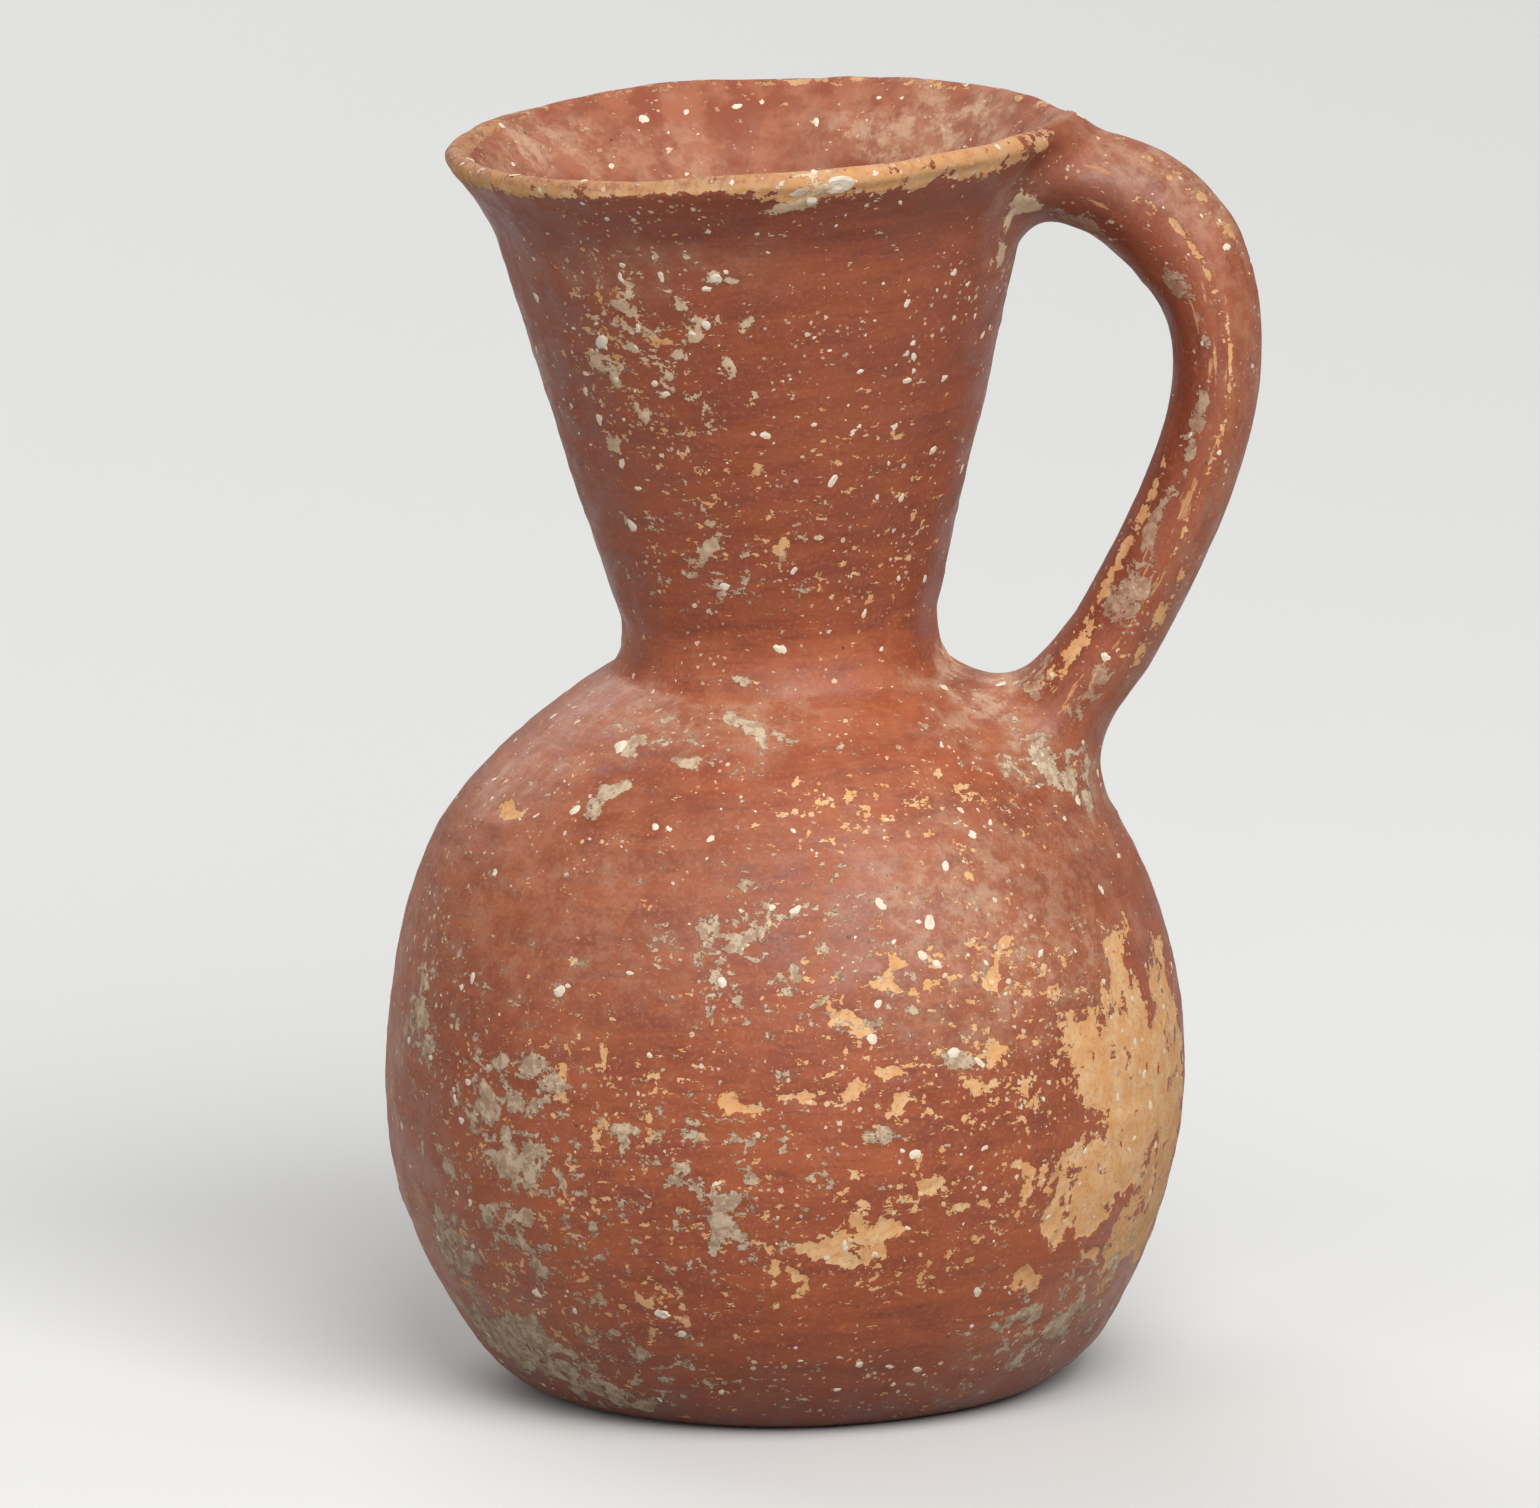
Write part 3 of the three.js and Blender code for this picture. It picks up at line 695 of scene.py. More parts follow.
class Skin:
    """What the wear needs to know of each corner of the mesh."""

    def __init__(self, points, out):
        x, y, z = upright(points)
        bulge, wave = hand_wobble(x, y, z)
        self.points = points
        self.out = out
        self.radius = np.hypot(x, y)
        self.turn = np.arctan2(x, -y)
        self.height = z - wave
        self.along = WALL.read(WALL.along, self.radius - bulge, self.height)
        self.offset = WALL.read(WALL.offset, self.radius - bulge, self.height)
        self.below_lip = MIDDLE_LENGTHS[-1] - self.along
        wall = WALL.read(WALL_SKIN, self.radius - bulge, self.height)
        handle = handle_field(x, y, self.height)
        self.on_handle = smooth_step(wall - handle, *HANDLE_FADE)
        self.handle_along, self.handle_out, self.handle_across, _ = handle_section(x, y, self.height)
        self.inside = smooth_step(-self.offset, *INSIDE_FADE) * (1 - self.on_handle)
        self.root = smooth_step(-np.maximum(wall, 0) - np.maximum(handle, 0), *ROOT_FADE)
        self.off_handle = smooth_step(handle, *OFF_HANDLE_FADE)
        self.tear_across = fractal(points, TEAR_LUMPS, 2, 61)
        self.tear_up = fractal(points, TEAR_LUMPS, 2, 71)

    def wall_stroke(self):
        """Places stretched the way the potter's fingers ran round the wall."""
        rise = self.along - STROKE_CLIMB * np.sin(self.turn + STROKE_START)
        return np.stack([self.points[:, 0], self.points[:, 1], rise], 1) * WALL_STROKE

    def handle_stroke(self):
        """Places stretched the way the potter's fingers ran along the handle."""
        return np.stack([self.handle_along, self.handle_across, self.handle_out], 1) * HANDLE_STROKE


def apart_from(turns, degrees):
    """How far turns are from one given in degrees, at most half a round either way."""
    return (turns - math.radians(degrees) + math.pi) % (2 * math.pi) - math.pi


def patch(first, second, strength):
    """A patch's strength in its middle, half of that at its edge, and nothing well outside."""
    return strength * smooth_step(-np.hypot(first, second), -PATCH_END, -PATCH_CORE)


def along_wall(height):
    """The distance along the wall's middle line at a height on the outside."""
    return np.interp(height, OUTLINE[:, 1], MIDDLE_LENGTHS)


def patch_field(skin, patches, inside=False):
    """The strongest of the patches on the wall's outside, or on its inside, with torn outlines."""
    best = np.zeros(len(skin.points))
    for turn, height, half_width, half_height, slant, strength in patches:
        tear = TEAR * min(half_width, half_height, TEAR_SIZE)
        across = apart_from(skin.turn, turn) * skin.radius + tear * skin.tear_across
        up = skin.along - along_wall(height) + tear * skin.tear_up
        tilt = math.radians(slant)
        first = (across * math.cos(tilt) + up * math.sin(tilt)) / half_width
        second = (up * math.cos(tilt) - across * math.sin(tilt)) / half_height
        best = np.maximum(best, patch(first, second, strength))
    return best * (skin.inside if inside else 1 - np.maximum(skin.inside, skin.on_handle))


def handle_patch_field(skin, patches):
    """The same for patches on the handle, by distance along it and how far round to its inner side."""
    round_handle = np.arctan2(skin.handle_out, -skin.handle_across)
    best = np.zeros(len(skin.points))
    for along, turn, half_length, half_width, strength in patches:
        first = (skin.handle_along - along) / half_length
        second = apart_from(round_handle, turn) * HANDLE_WIDTH / 2 / half_width
        best = np.maximum(best, patch(first, second, strength))
    return best * skin.on_handle


def unseen_patches(random, count, widest, strongest):
    """Patches on the side that the photograph doesn't show."""
    rows = []
    for _ in range(count):
        half = 1 + (widest - 1) * random.random() ** 2
        rows.append((
            random.uniform(*UNSEEN_TURNS),
            random.uniform(*UNSEEN_HEIGHTS),
            half * random.uniform(*UNSEEN_LONGER),
            half * random.uniform(*UNSEEN_LOWER),
            random.uniform(*UNSEEN_SLANTS),
            random.uniform(UNSEEN_WEAKEST, strongest),
        ))
    return rows


# The lip's bare band: how wide it is at the front, and how much wider on the right and on the left
LIP_BAND = 1.7
LIP_BAND_RIGHT = 1.2
LIP_BAND_LEFT = 0.5
LIP_BAND_STRAY = 0.4
LIP_BAND_BACK = 0.35  # its width at the back, over that at the front
LIP_BAND_INSIDE = 0.6  # its width inside the mouth, over that outside
LIP_BARE = 0.56  # how much barer the lip is at the front than at the back
LIP_BACK_BARE = 0.28
LIP_BAND_EDGE = (0.6, 1.4)  # where the band ends, over its width
# Turns in radians over which the lip goes from back to front, and to its right and its left
LIP_FRONT = 0.3
LIP_FRONT_FADE = (-0.4, 0.4)
LIP_RIGHT = (-0.05, 0.25)
LIP_LEFT = (0.85, 1.1)
LIP_FALL = 0.8  # how far the band follows a level line rather than the lip's edge
LIP_DUST_RUN = (-6, -2)
LIP_DUST_SLOPE = (-0.5, 0.5)
LIP_DUST_RIGHT = 0.5  # how much less dust lies on the right


def bell(value, middle, spread):
    """1 at the middle and soft slopes to nothing on both sides."""
    return np.exp(-(((value - middle) / spread) ** 2))


def lip_wear(skin):
    """How bare the lip is, and how much dust lies on its top."""
    front = smooth_step(np.cos(skin.turn + LIP_FRONT), *LIP_FRONT_FADE)
    right = smooth_step(skin.turn, *LIP_RIGHT)
    left = smooth_step(-skin.turn, *LIP_LEFT)
    stray = LIP_BAND_STRAY * lattice_noise(skin.points, 9, 41)
    width = LIP_BAND + LIP_BAND_RIGHT * right + LIP_BAND_LEFT * left + stray
    width = width * (1 - (1 - LIP_BAND_INSIDE) * skin.inside)
    width = width * (LIP_BAND_BACK + (1 - LIP_BAND_BACK) * front)
    run = np.maximum(skin.below_lip, LIP_FALL * (LIP_TOP - skin.height) * (1 - skin.inside))
    worn = LIP_BACK_BARE + LIP_BARE * front
    band = worn - smooth_step(run / width, *LIP_BAND_EDGE) - (1 - skin.off_handle)
    top = smooth_step(-skin.below_lip, *LIP_DUST_RUN) * smooth_step(skin.out[:, 2], *LIP_DUST_SLOPE)
    return band, top * (1 - LIP_DUST_RIGHT * right)


# Faces of the handle, by how far out they lie over its half thickness
OUTER_FACE = (-0.3, 0.9)
INNER_FACE = (-0.5, 0.6)
# Film on the handle's outer face and crown, partly a painted highlight where the light falls
HANDLE_FILM_AND_SHEEN = 0.4
CROWN_FILM_AND_SHEEN = 0.4  # how much more lies on the crown, which ends between these distances along the handle
CROWN_END = (-44, -14)
ROOT_FILM = 0.8
# Painted shade: heights at which the slip is painted darker, and how dark
FOOT_SHADE = (-16, 0)
UNDER_RIM_SHADE = (139, 4)
NECK_SHADE = (86, 98)
RIM_DARK = 0.6
NECK_DARK = 0.4
INNER_DARK = 0.4
HANDLE_DARK = 0.18


def film_and_painted_sheen(skin, root, ragged):
    """Where a thin pale film lies, with a broad sheen on the belly and a highlight on the handle's outer
    face painted in as paler film: in its patches, on the handle's outer face and round its ends.
    """
    outer_face = smooth_step(-skin.handle_out, *OUTER_FACE) * skin.on_handle
    crown = HANDLE_FILM_AND_SHEEN + CROWN_FILM_AND_SHEEN * smooth_step(-skin.handle_along, *CROWN_END)
    film_and_sheen = np.maximum(patch_field(skin, FILM_AND_SHEEN_PATCHES), patch_field(skin, INSIDE_PATCHES, inside=True))
    film_and_sheen = np.maximum(film_and_sheen, np.maximum(outer_face * crown, ROOT_FILM * root))
    return film_and_sheen * np.clip(0.85 + 0.35 * ragged, 0.2, 1.2)


def painted_shading(skin):
    """Painted shade: the slip darker near the foot, under the rim, on the neck and on the handle's inner
    face, and a little over the whole handle.
    """
    foot = smooth_step(-skin.height, *FOOT_SHADE)
    on_neck = smooth_step(skin.height, *NECK_SHADE) * (1 - skin.on_handle)
    inner_face = smooth_step(skin.handle_out, *INNER_FACE) * skin.on_handle
    painted_shade = foot + RIM_DARK * bell(skin.height, *UNDER_RIM_SHADE) + NECK_DARK * on_neck + INNER_DARK * inner_face
    return np.clip(painted_shade + HANDLE_DARK * skin.on_handle, 0, 1) * (1 - skin.inside)


BARE_GAIN = 1.25  # how much steeper patches fall off than they are given
CRUST_GAIN = 1.3
SLIGHT = 0.3  # patches stray where they are stronger than this
STRAY = 0.1
FINE_STRAY = 0.06
# Heights between which crust grows chalky, and slopes that dust settles on and that are painted lighter as
# if lit from above
CHALKY_NECK = (92, 112)
CHALKINESS = 0.65
CREASE_RUN = 6.0
OPEN_SLOPE = (-0.2, 0.5)
UPWARD_SLOPE = (0.1, 0.9)
RIDGE = (0.6, 1.0)  # the handle's sides, over its half width


def wear(skin, random):
    """How far slip is gone, crust is left and dust lies, and where sheen, light and shade are painted into
    the colour, at each corner of the mesh.
    """
    ragged = fractal(skin.points, 6, 3, 11)
    fine = fractal(skin.points, 2.2, 2, 23)
    bare = patch_field(skin, BARE_PATCHES + unseen_patches(random, *UNSEEN_BARE))
    bare = np.maximum(bare, handle_patch_field(skin, HANDLE_BARE))
    bare = bare * BARE_GAIN + 1 - BARE_GAIN + np.where(bare > SLIGHT, STRAY * ragged + FINE_STRAY * fine, 0)
    lip_band, lip_top = lip_wear(skin)
    bare = np.maximum(bare - patch_field(skin, KEPT_SLIP), lip_band)
    crust = patch_field(skin, CRUST_PATCHES + unseen_patches(random, *UNSEEN_CRUST))
    crust = np.maximum(crust, handle_patch_field(skin, HANDLE_CRUST))
    crust = crust * CRUST_GAIN + 1 - CRUST_GAIN + np.where(crust > SLIGHT, STRAY * ragged, 0)
    open_side = smooth_step(skin.out[:, 2], *OPEN_SLOPE)
    root = skin.root * np.minimum(np.interp(skin.height, FILLET_HEIGHTS, [1, 0.35]) + 0.5 * open_side, 1)
    crease = bell(skin.height, SEAT_HEIGHT + 1, CREASE_RUN)
    upward = smooth_step(skin.out[:, 2], *UPWARD_SLOPE)
    ridge = 0.5 + 0.5 * smooth_step(np.abs(skin.handle_across), *RIDGE)
    return {
        "bare": bare,
        "chalky": CHALKINESS * smooth_step(skin.height, *CHALKY_NECK) * (1 - skin.on_handle),
        "crust": crust,
        "film_and_sheen": film_and_painted_sheen(skin, root, ragged),
        "inside": skin.inside,
        "lip_top": lip_top,
        "on_handle": skin.on_handle,
        # pale: dust in the crease and round the handle's root, and painted light on faces that turn up
        "pale": np.clip(crease * 0.2 + 0.4 * root + (0.2 + 0.4 * skin.on_handle) * upward, 0, 1),
        # Painted shade: darker slip low down, under the rim, on the neck and on the handle
        "painted_shade": painted_shading(skin),
        "streaky": ridge * skin.on_handle,
    }


# How far the relief's parts stand out
LUMPS = 0.14
SMALL_LUMPS = 0.06
FINGER_LINES = 0.08
GRAIN = 0.02
SLIP_DEPTH = 0.14
CRUST_HEIGHT = 0.12
LIP_LUMPS = 0.1
LIP_LUMP_RUN = (-5, 0)
WORN_EDGE = (0.4, 0.7)  # wear from none to whole
STANDING = (0.0, 1.5)  # no relief at the first height, and all of it from the second


def relief(skin, worn):
    """How far the skin stands out or in, from the shaping, the smoothing and the wear."""
    lumps = LUMPS * lattice_noise(skin.points, 13, 3) + SMALL_LUMPS * lattice_noise(skin.points, 6, 4)
    wall_lines = fractal(skin.wall_stroke(), 3, 2, 5)
    handle_lines = fractal(skin.handle_stroke(), 3, 2, 5)
    lines = FINGER_LINES * (wall_lines + (handle_lines - wall_lines) * skin.on_handle)
    grain = GRAIN * lattice_noise(skin.points, 1.2, 6)
    lost = -SLIP_DEPTH * smooth_step(worn["bare"], *WORN_EDGE)
    crust = smooth_step(worn["crust"], *WORN_EDGE) * CRUST_HEIGHT * (1 + lattice_noise(skin.points, 1.6, 8))
    lip = LIP_LUMPS * smooth_step(-skin.below_lip, *LIP_LUMP_RUN) * lattice_noise(skin.points, 3.2, 9)
    standing = smooth_step(skin.points[:, 2], *STANDING)
    return (lumps + lines + grain + lost + crust * (1 - skin.inside * 0.6) + lip) * standing


def set_attribute(mesh, name, kind, values):
    """Puts one value on each corner of the mesh."""
    layer = mesh.attributes.new(name, kind, "POINT")
    key = "vector" if kind == "FLOAT_VECTOR" else "value"
    layer.data.foreach_set(key, np.ascontiguousarray(values, np.float32).ravel())


def read_rows(items, key, width=3, kind=np.float32):
    """One row of numbers for each corner, face or other item of a mesh."""
    rows = np.empty(len(items) * width, kind)
    items.foreach_get(key, rows)
    return rows.reshape(-1, width)


def add_object(name, data):
    """A new object in the scene."""
    thing = bpy.data.objects.new(name, data)
    bpy.context.collection.objects.link(thing)
    return thing


def face_pieces(mesh):
    """Which piece each face belongs to."""
    x, _, z = read_rows(mesh.polygons, "center").T / MM
    which = np.searchsorted(LEVELS, z)
    high = z > HANDLE_BOW_HEIGHT
    which[(x > NECK_REACH) & ~high & (z > LEVELS[2])] = PIECES.index("jug_shoulder")
    beyond_upper = high & (past(UPPER_CUT, x, z) > 0)
    beyond_lower = ~high & (past(LOWER_CUT, x, z) > 0) & (x > NECK_REACH)
    which[beyond_upper | beyond_lower] = PIECES.index("jug_handle")
    return which.astype(np.int32)


def past(joint, x, z):
    """How far places lie past a cut, on the side of the handle's loop."""
    (cut_x, cut_z), (way_x, way_z) = joint
    return (x - cut_x) * way_x + (z - cut_z) * way_z


def whole_jug(random):
    """The jug's skin as one mesh with its relief, wear and piece numbers."""
    values, low = field_grid()
    vertices, faces = surface_net(values, low)
    vertices = settle(vertices, faces)
    mesh = bpy.data.meshes.new("whole_jug")
    mesh.from_pydata(vertices * MM, [], faces.tolist())
    cut_joints(mesh)
    points = read_rows(mesh.vertices, "co").astype(float) / MM
    slope = field_slope(points)
    skin = Skin(points, slope / np.maximum(np.linalg.norm(slope, axis=1, keepdims=True), LEAST_SLOPE))
    worn = wear(skin, random)
    which = face_pieces(mesh)
    shaped = points + skin.out * relief(skin, worn)[:, None]
    mesh.vertices.foreach_set("co", (shaped * MM).astype(np.float32).ravel())
    mesh.update()
    for name, share in worn.items():
        set_attribute(mesh, name, "FLOAT", share)
    set_attribute(mesh, "wall_stroke", "FLOAT_VECTOR", skin.wall_stroke())
    set_attribute(mesh, "handle_stroke", "FLOAT_VECTOR", skin.handle_stroke())
    set_attribute(mesh, "whole_normal", "FLOAT_VECTOR", read_rows(mesh.vertices, "normal"))
    layer = mesh.attributes.new("piece", "INT", "FACE")
    layer.data.foreach_set("value", which)
    return mesh, skin, shaped


def cut_piece(whole, number, name):
    """One closed piece of the jug, flat where it meets its neighbours and shaded as the whole is."""
    shape = bmesh.new()
    shape.from_mesh(whole)
    layer = shape.faces.layers.int["piece"]
    others = [face for face in shape.faces if face[layer] != number]
    bmesh.ops.delete(shape, geom=others, context="FACES")
    shape.faces.ensure_lookup_table()
    walls = len(shape.faces)
    cap_joints(shape)
    mesh = bpy.data.meshes.new(name)
    shape.to_mesh(mesh)
    shape.free()
    smooth_as_whole(mesh, walls)
    return add_object(name, mesh)


def cap_joints(shape):
    """Closes a piece with a flat face at each of its joints."""
    groups = {}
    for edge in shape.edges:
        if edge.is_boundary:
            x, _, z = (edge.verts[0].co + edge.verts[1].co) / 2 / MM
            on_handle = x > NECK_REACH and z > LEVELS[2] - HANDLE_THICKNESS
            if on_handle and abs(past(UPPER_CUT, x, z)) < CAP_REACH and z > HANDLE_BOW_HEIGHT:
                joint = "upper"
            elif on_handle and abs(past(LOWER_CUT, x, z)) < CAP_REACH:
                joint = "lower"
            else:
                joint = min(LEVELS, key=lambda level: abs(level - z))
            groups.setdefault(joint, []).append(edge)
    for edges in groups.values():
        bmesh.ops.triangle_fill(shape, edges=edges, use_beauty=True)


def smooth_as_whole(mesh, walls):
    """Gives the wall faces the normals of the uncut jug, and leaves the cut faces flat."""
    mesh.polygons.foreach_set("use_smooth", np.ones(len(mesh.polygons), bool))
    normals = read_rows(mesh.attributes["whole_normal"].data, "vector")
    corners = read_rows(mesh.loops, "vertex_index", 1, np.int32).ravel()
    totals = read_rows(mesh.polygons, "loop_total", 1, np.int32).ravel()
    flat = read_rows(mesh.polygons, "normal")
    capped = np.repeat(np.arange(len(mesh.polygons)) >= walls, totals)
    rows = normals[corners]
    rows[capped] = np.repeat(flat, totals, axis=0)[capped]
    mesh.normals_split_custom_set(rows.tolist())
    mesh.attributes.remove(mesh.attributes["whole_normal"])


def pebble_shape():
    """The corners and faces of a small ball."""
    shape = bmesh.new()
    bmesh.ops.create_icosphere(shape, subdivisions=2, radius=1)
    corners = np.array([tuple(v.co) for v in shape.verts])
    faces = np.array([[v.index for v in f.verts] for f in shape.faces])
    shape.free()
    return corners, faces


def grit_places(skin, random):
    """Which corner of the mesh each grit sits on, with its half length and slant."""
    outside = np.flatnonzero((skin.inside < 0.1) & (skin.points[:, 2] > GRIT_FLOOR))
    rows = []
    for turn, height, half, slant in PLACED_GRITS:
        apart = (skin.turn[outside] - math.radians(turn)) * skin.radius[outside]
        up = skin.along[outside] - along_wall(height)
        cost = np.hypot(apart, up) + OFF_HANDLE_COST * skin.on_handle[outside]
        rows.append((outside[cost.argmin()], half, slant))
    chance = random.uniform(*GRIT_CLUSTERING, len(skin.points))
    clustered = lattice_noise(skin.points, 11, 51) + chance > 0
    anywhere = np.flatnonzero((skin.points[:, 2] > GRIT_FLOOR) & clustered)
    for _ in range(RANDOM_GRITS):
        half = LEAST_GRIT + GRIT_SPREAD * random.random() ** 3
        rows.append((anywhere[random.integers(len(anywhere))], half, random.uniform(0, 180)))
    return rows


def grits(skin, shaped, random):
    """Pale grits that stand a little out of the skin, as flat lumps of uneven outline."""
    ball, ball_faces = pebble_shape()
    corners = []
    faces = []
    for number, (place, half, slant) in enumerate(grit_places(skin, random)):
        normal = skin.out[place] / np.linalg.norm(skin.out[place])
        side = np.cross((0, 0, 1) if abs(normal[2]) < LEVEL_GROUND else (0, 1, 0), normal)
        side = side / np.linalg.norm(side)
        up = np.cross(normal, side)
        tilt = math.radians(slant)
        long_way = side * math.cos(tilt) + up * math.sin(tilt)
        short_way = np.cross(normal, long_way)
        narrow = half * random.uniform(*GRIT_NARROWNESS)
        uneven = 1 + GRIT_UNEVEN * lattice_noise(ball + number * 3.1, 0.9, 17)
        lump = ball * uneven[:, None]
        body = lump[:, :1] * long_way * half + lump[:, 1:2] * short_way * narrow
        body = body + lump[:, 2:] * normal * narrow * GRIT_FLATNESS
        faces.append(ball_faces + len(ball) * number)
        corners.append(shaped[place] - normal * narrow * GRIT_BURIED + body)
    mesh = bpy.data.meshes.new("lime_grits")
    mesh.from_pydata(np.concatenate(corners) * MM, [], np.concatenate(faces).tolist())
    return add_object("lime_grits", mesh)


CRUMB_SQUASH = (0.8, 0.8, 1.4)  # crumbs are longer round the wall than up it
CRUMB_EDGE = 0.015
SPECK_EDGE = 0.06
SPECK_PUSH = 1.8  # how far a speck's outline is pushed about, over its radius


class Shader:
    """A material's nodes, added with short calls."""

    def __init__(self, name):
        self.material = bpy.data.materials.new(name)
        self.material.use_nodes = True
        self.tree = self.material.node_tree
        self.surface = self.tree.nodes["Principled BSDF"]

    @functools.cached_property
    def place(self):
        """Places on the object, in millimetres."""
        place = self.add("TexCoord").outputs["Object"]
        return self.add("VectorMath", {0: place, "Scale": 1 / MM}, operation="SCALE").outputs[0]

    @functools.cached_property
    def squashed(self):
        """Places that draw patterns out round the wall."""
        return self.add("VectorMath", {0: self.place, 1: CRUMB_SQUASH}, operation="MULTIPLY").outputs[0]

    def add(self, kind, inputs=None, **settings):
        """A node with its settings, and its inputs linked or set."""
        node = self.tree.nodes.new("ShaderNode" + kind)
        for key, value in settings.items():
            setattr(node, key, value)
        for key, value in (inputs or {}).items():
            self.feed(node.inputs[key], value)
        return node

    def feed(self, socket, value):
        """Links or sets one input."""
        if isinstance(value, bpy.types.NodeSocket):
            self.tree.links.new(value, socket)
        else:
            socket.default_value = value

    def share(self, name):
        """One of the mesh's own values."""
        return self.add("Attribute", attribute_name=name).outputs["Fac"]

    def stretched(self, name):
        """One of the mesh's own sets of stretched places."""
        return self.add("Attribute", attribute_name=name).outputs["Vector"]

    def stroke_noise(self, size, detail, roughness):
        """Noise drawn out round the wall, and along the handle on the handle."""
        wall = self.noise(size, detail, roughness, self.stretched("wall_stroke"))
        handle = self.noise(size, detail, roughness, self.stretched("handle_stroke"))
        return self.blend(self.share("on_handle"), wall, handle)

    def noise(self, size, detail=3.0, roughness=0.55, place=None):
        """Noise from 0 to 1 with lumps of a size in millimetres."""
        inputs = {"Vector": place or self.place, "Scale": 1 / size, "Detail": detail, "Roughness": roughness}
        return self.add("TexNoise", inputs).outputs["Fac"]

    def math(self, operation, first, second):
        """Arithmetic on two values."""
        return self.add("Math", {0: first, 1: second}, operation=operation).outputs[0]

    def times(self, first, second):
        """One value times another."""
        return self.math("MULTIPLY", first, second)

    def plus(self, first, second):
        """One value and another."""
        return self.math("ADD", first, second)

    def most(self, first, second):
        """The greater of two values."""
        return self.math("MAXIMUM", first, second)

    def torn(self, name, noise, reach):
        """One of the mesh's own values, torn up and down by noise."""
        swing = self.times(self.math("SUBTRACT", noise, 0.5), reach)
        return self.plus(self.share(name), swing)

    def ramp(self, value, low, high, start=0.0, end=1.0):
        """A soft step from start to end while the value goes from low to high."""
        inputs = {"Value": value, "From Min": low, "From Max": high, "To Min": start, "To Max": end}
        return self.add("MapRange", inputs, interpolation_type="SMOOTHSTEP").outputs["Result"]

    def mix(self, share, first, second, kind="MIX"):
        """A colour between two, or the first changed by the second."""
        inputs = {0: share, 6: first, 7: second}
        return self.add("Mix", inputs, data_type="RGBA", blend_type=kind).outputs[2]

    def blend(self, share, first, second):
        """A number between two."""
        return self.add("Mix", {0: share, 2: first, 3: second}, data_type="FLOAT").outputs[0]

    def crumbs(self, size, detail, zone, rare, common):
        """Torn crumbs lying along the wall: few where the zone is 0, and many where it is 1."""
        pattern = self.noise(size, detail, 0.65, self.squashed)
        level = self.plus(pattern, self.times(zone, rare - common))
        return self.ramp(level, rare, rare + CRUMB_EDGE)

    def specks(self, cell, presence, biggest, zone=None):
        """Scattered specks, 1 on a speck, and a tint for each. More fall where the zone is near 1."""
        wavy = self.add("TexNoise", {"Vector": self.place, "Scale": 0.8 / biggest, "Detail": 2.0})
        push = {0: wavy.outputs["Color"], "Scale": biggest * SPECK_PUSH}
        push = self.add("VectorMath", push, operation="SCALE").outputs[0]
        place = self.add("VectorMath", {0: self.place, 1: push}, operation="ADD").outputs[0]
        cells = self.add("TexVoronoi", {"Vector": place, "Scale": 1 / cell})
        draws = self.add("TexWhiteNoise", {"Vector": cells.outputs["Position"]})
        draws = self.add("SeparateColor", {0: draws.outputs["Color"]})
        chance = draws.outputs[0]
        if zone:
            chance = self.plus(chance, self.ramp(zone, 0.0, 1.0, -0.35, 0.15))
        radius = self.ramp(chance, 1 - presence, 1.0, 0.0, biggest / cell)
        gap = self.math("SUBTRACT", radius, cells.outputs["Distance"])
        return self.ramp(gap, 0.0, SPECK_EDGE / cell), draws.outputs[1]

    def finish(self, colour, roughness, height=None):
        """Colour, roughness and any bump in millimetres, on the surface."""
        self.feed(self.surface.inputs["Base Color"], colour)
        self.feed(self.surface.inputs["Roughness"], roughness)
        if height:
            bump = self.add("Bump", {"Height": height, "Distance": MM})
            self.feed(self.surface.inputs["Normal"], bump.outputs["Normal"])
        return self.material


DEEP_SLIP = srgb(134, 60, 35)
WARM_SLIP = srgb(164, 84, 50)
ORANGE_SLIP = srgb(182, 98, 54)
PALE_SLIP = srgb(194, 122, 88)
DARK_SLIP = srgb(104, 48, 36)
DEEP_OCHRE = srgb(202, 135, 81)
OCHRE = srgb(225, 166, 108)
PALE_OCHRE = srgb(232, 190, 142)
DUST = (0.68, 0.67, 0.7, 1.0)  # how far dust dulls the top of the lip
CRUST = srgb(212, 192, 162)
PALE_CRUST = srgb(240, 208, 168)
DARK_CRUST = srgb(174, 148, 122)
# Colour of the pale film, also used for the painted sheen and highlight
FILM_AND_SHEEN_COLOUR = srgb(204, 164, 134)
INSIDE = srgb(148, 77, 51)
PALE_INSIDE = srgb(169, 100, 70)
CREAM = srgb(234, 222, 200)
PIT = srgb(92, 44, 34)
BURNISHED = 0.44  # roughnesses
UNBURNISHED = 0.6
CHALKY_ROUGHNESS = 0.85
INSIDE_ROUGHNESS = 0.78


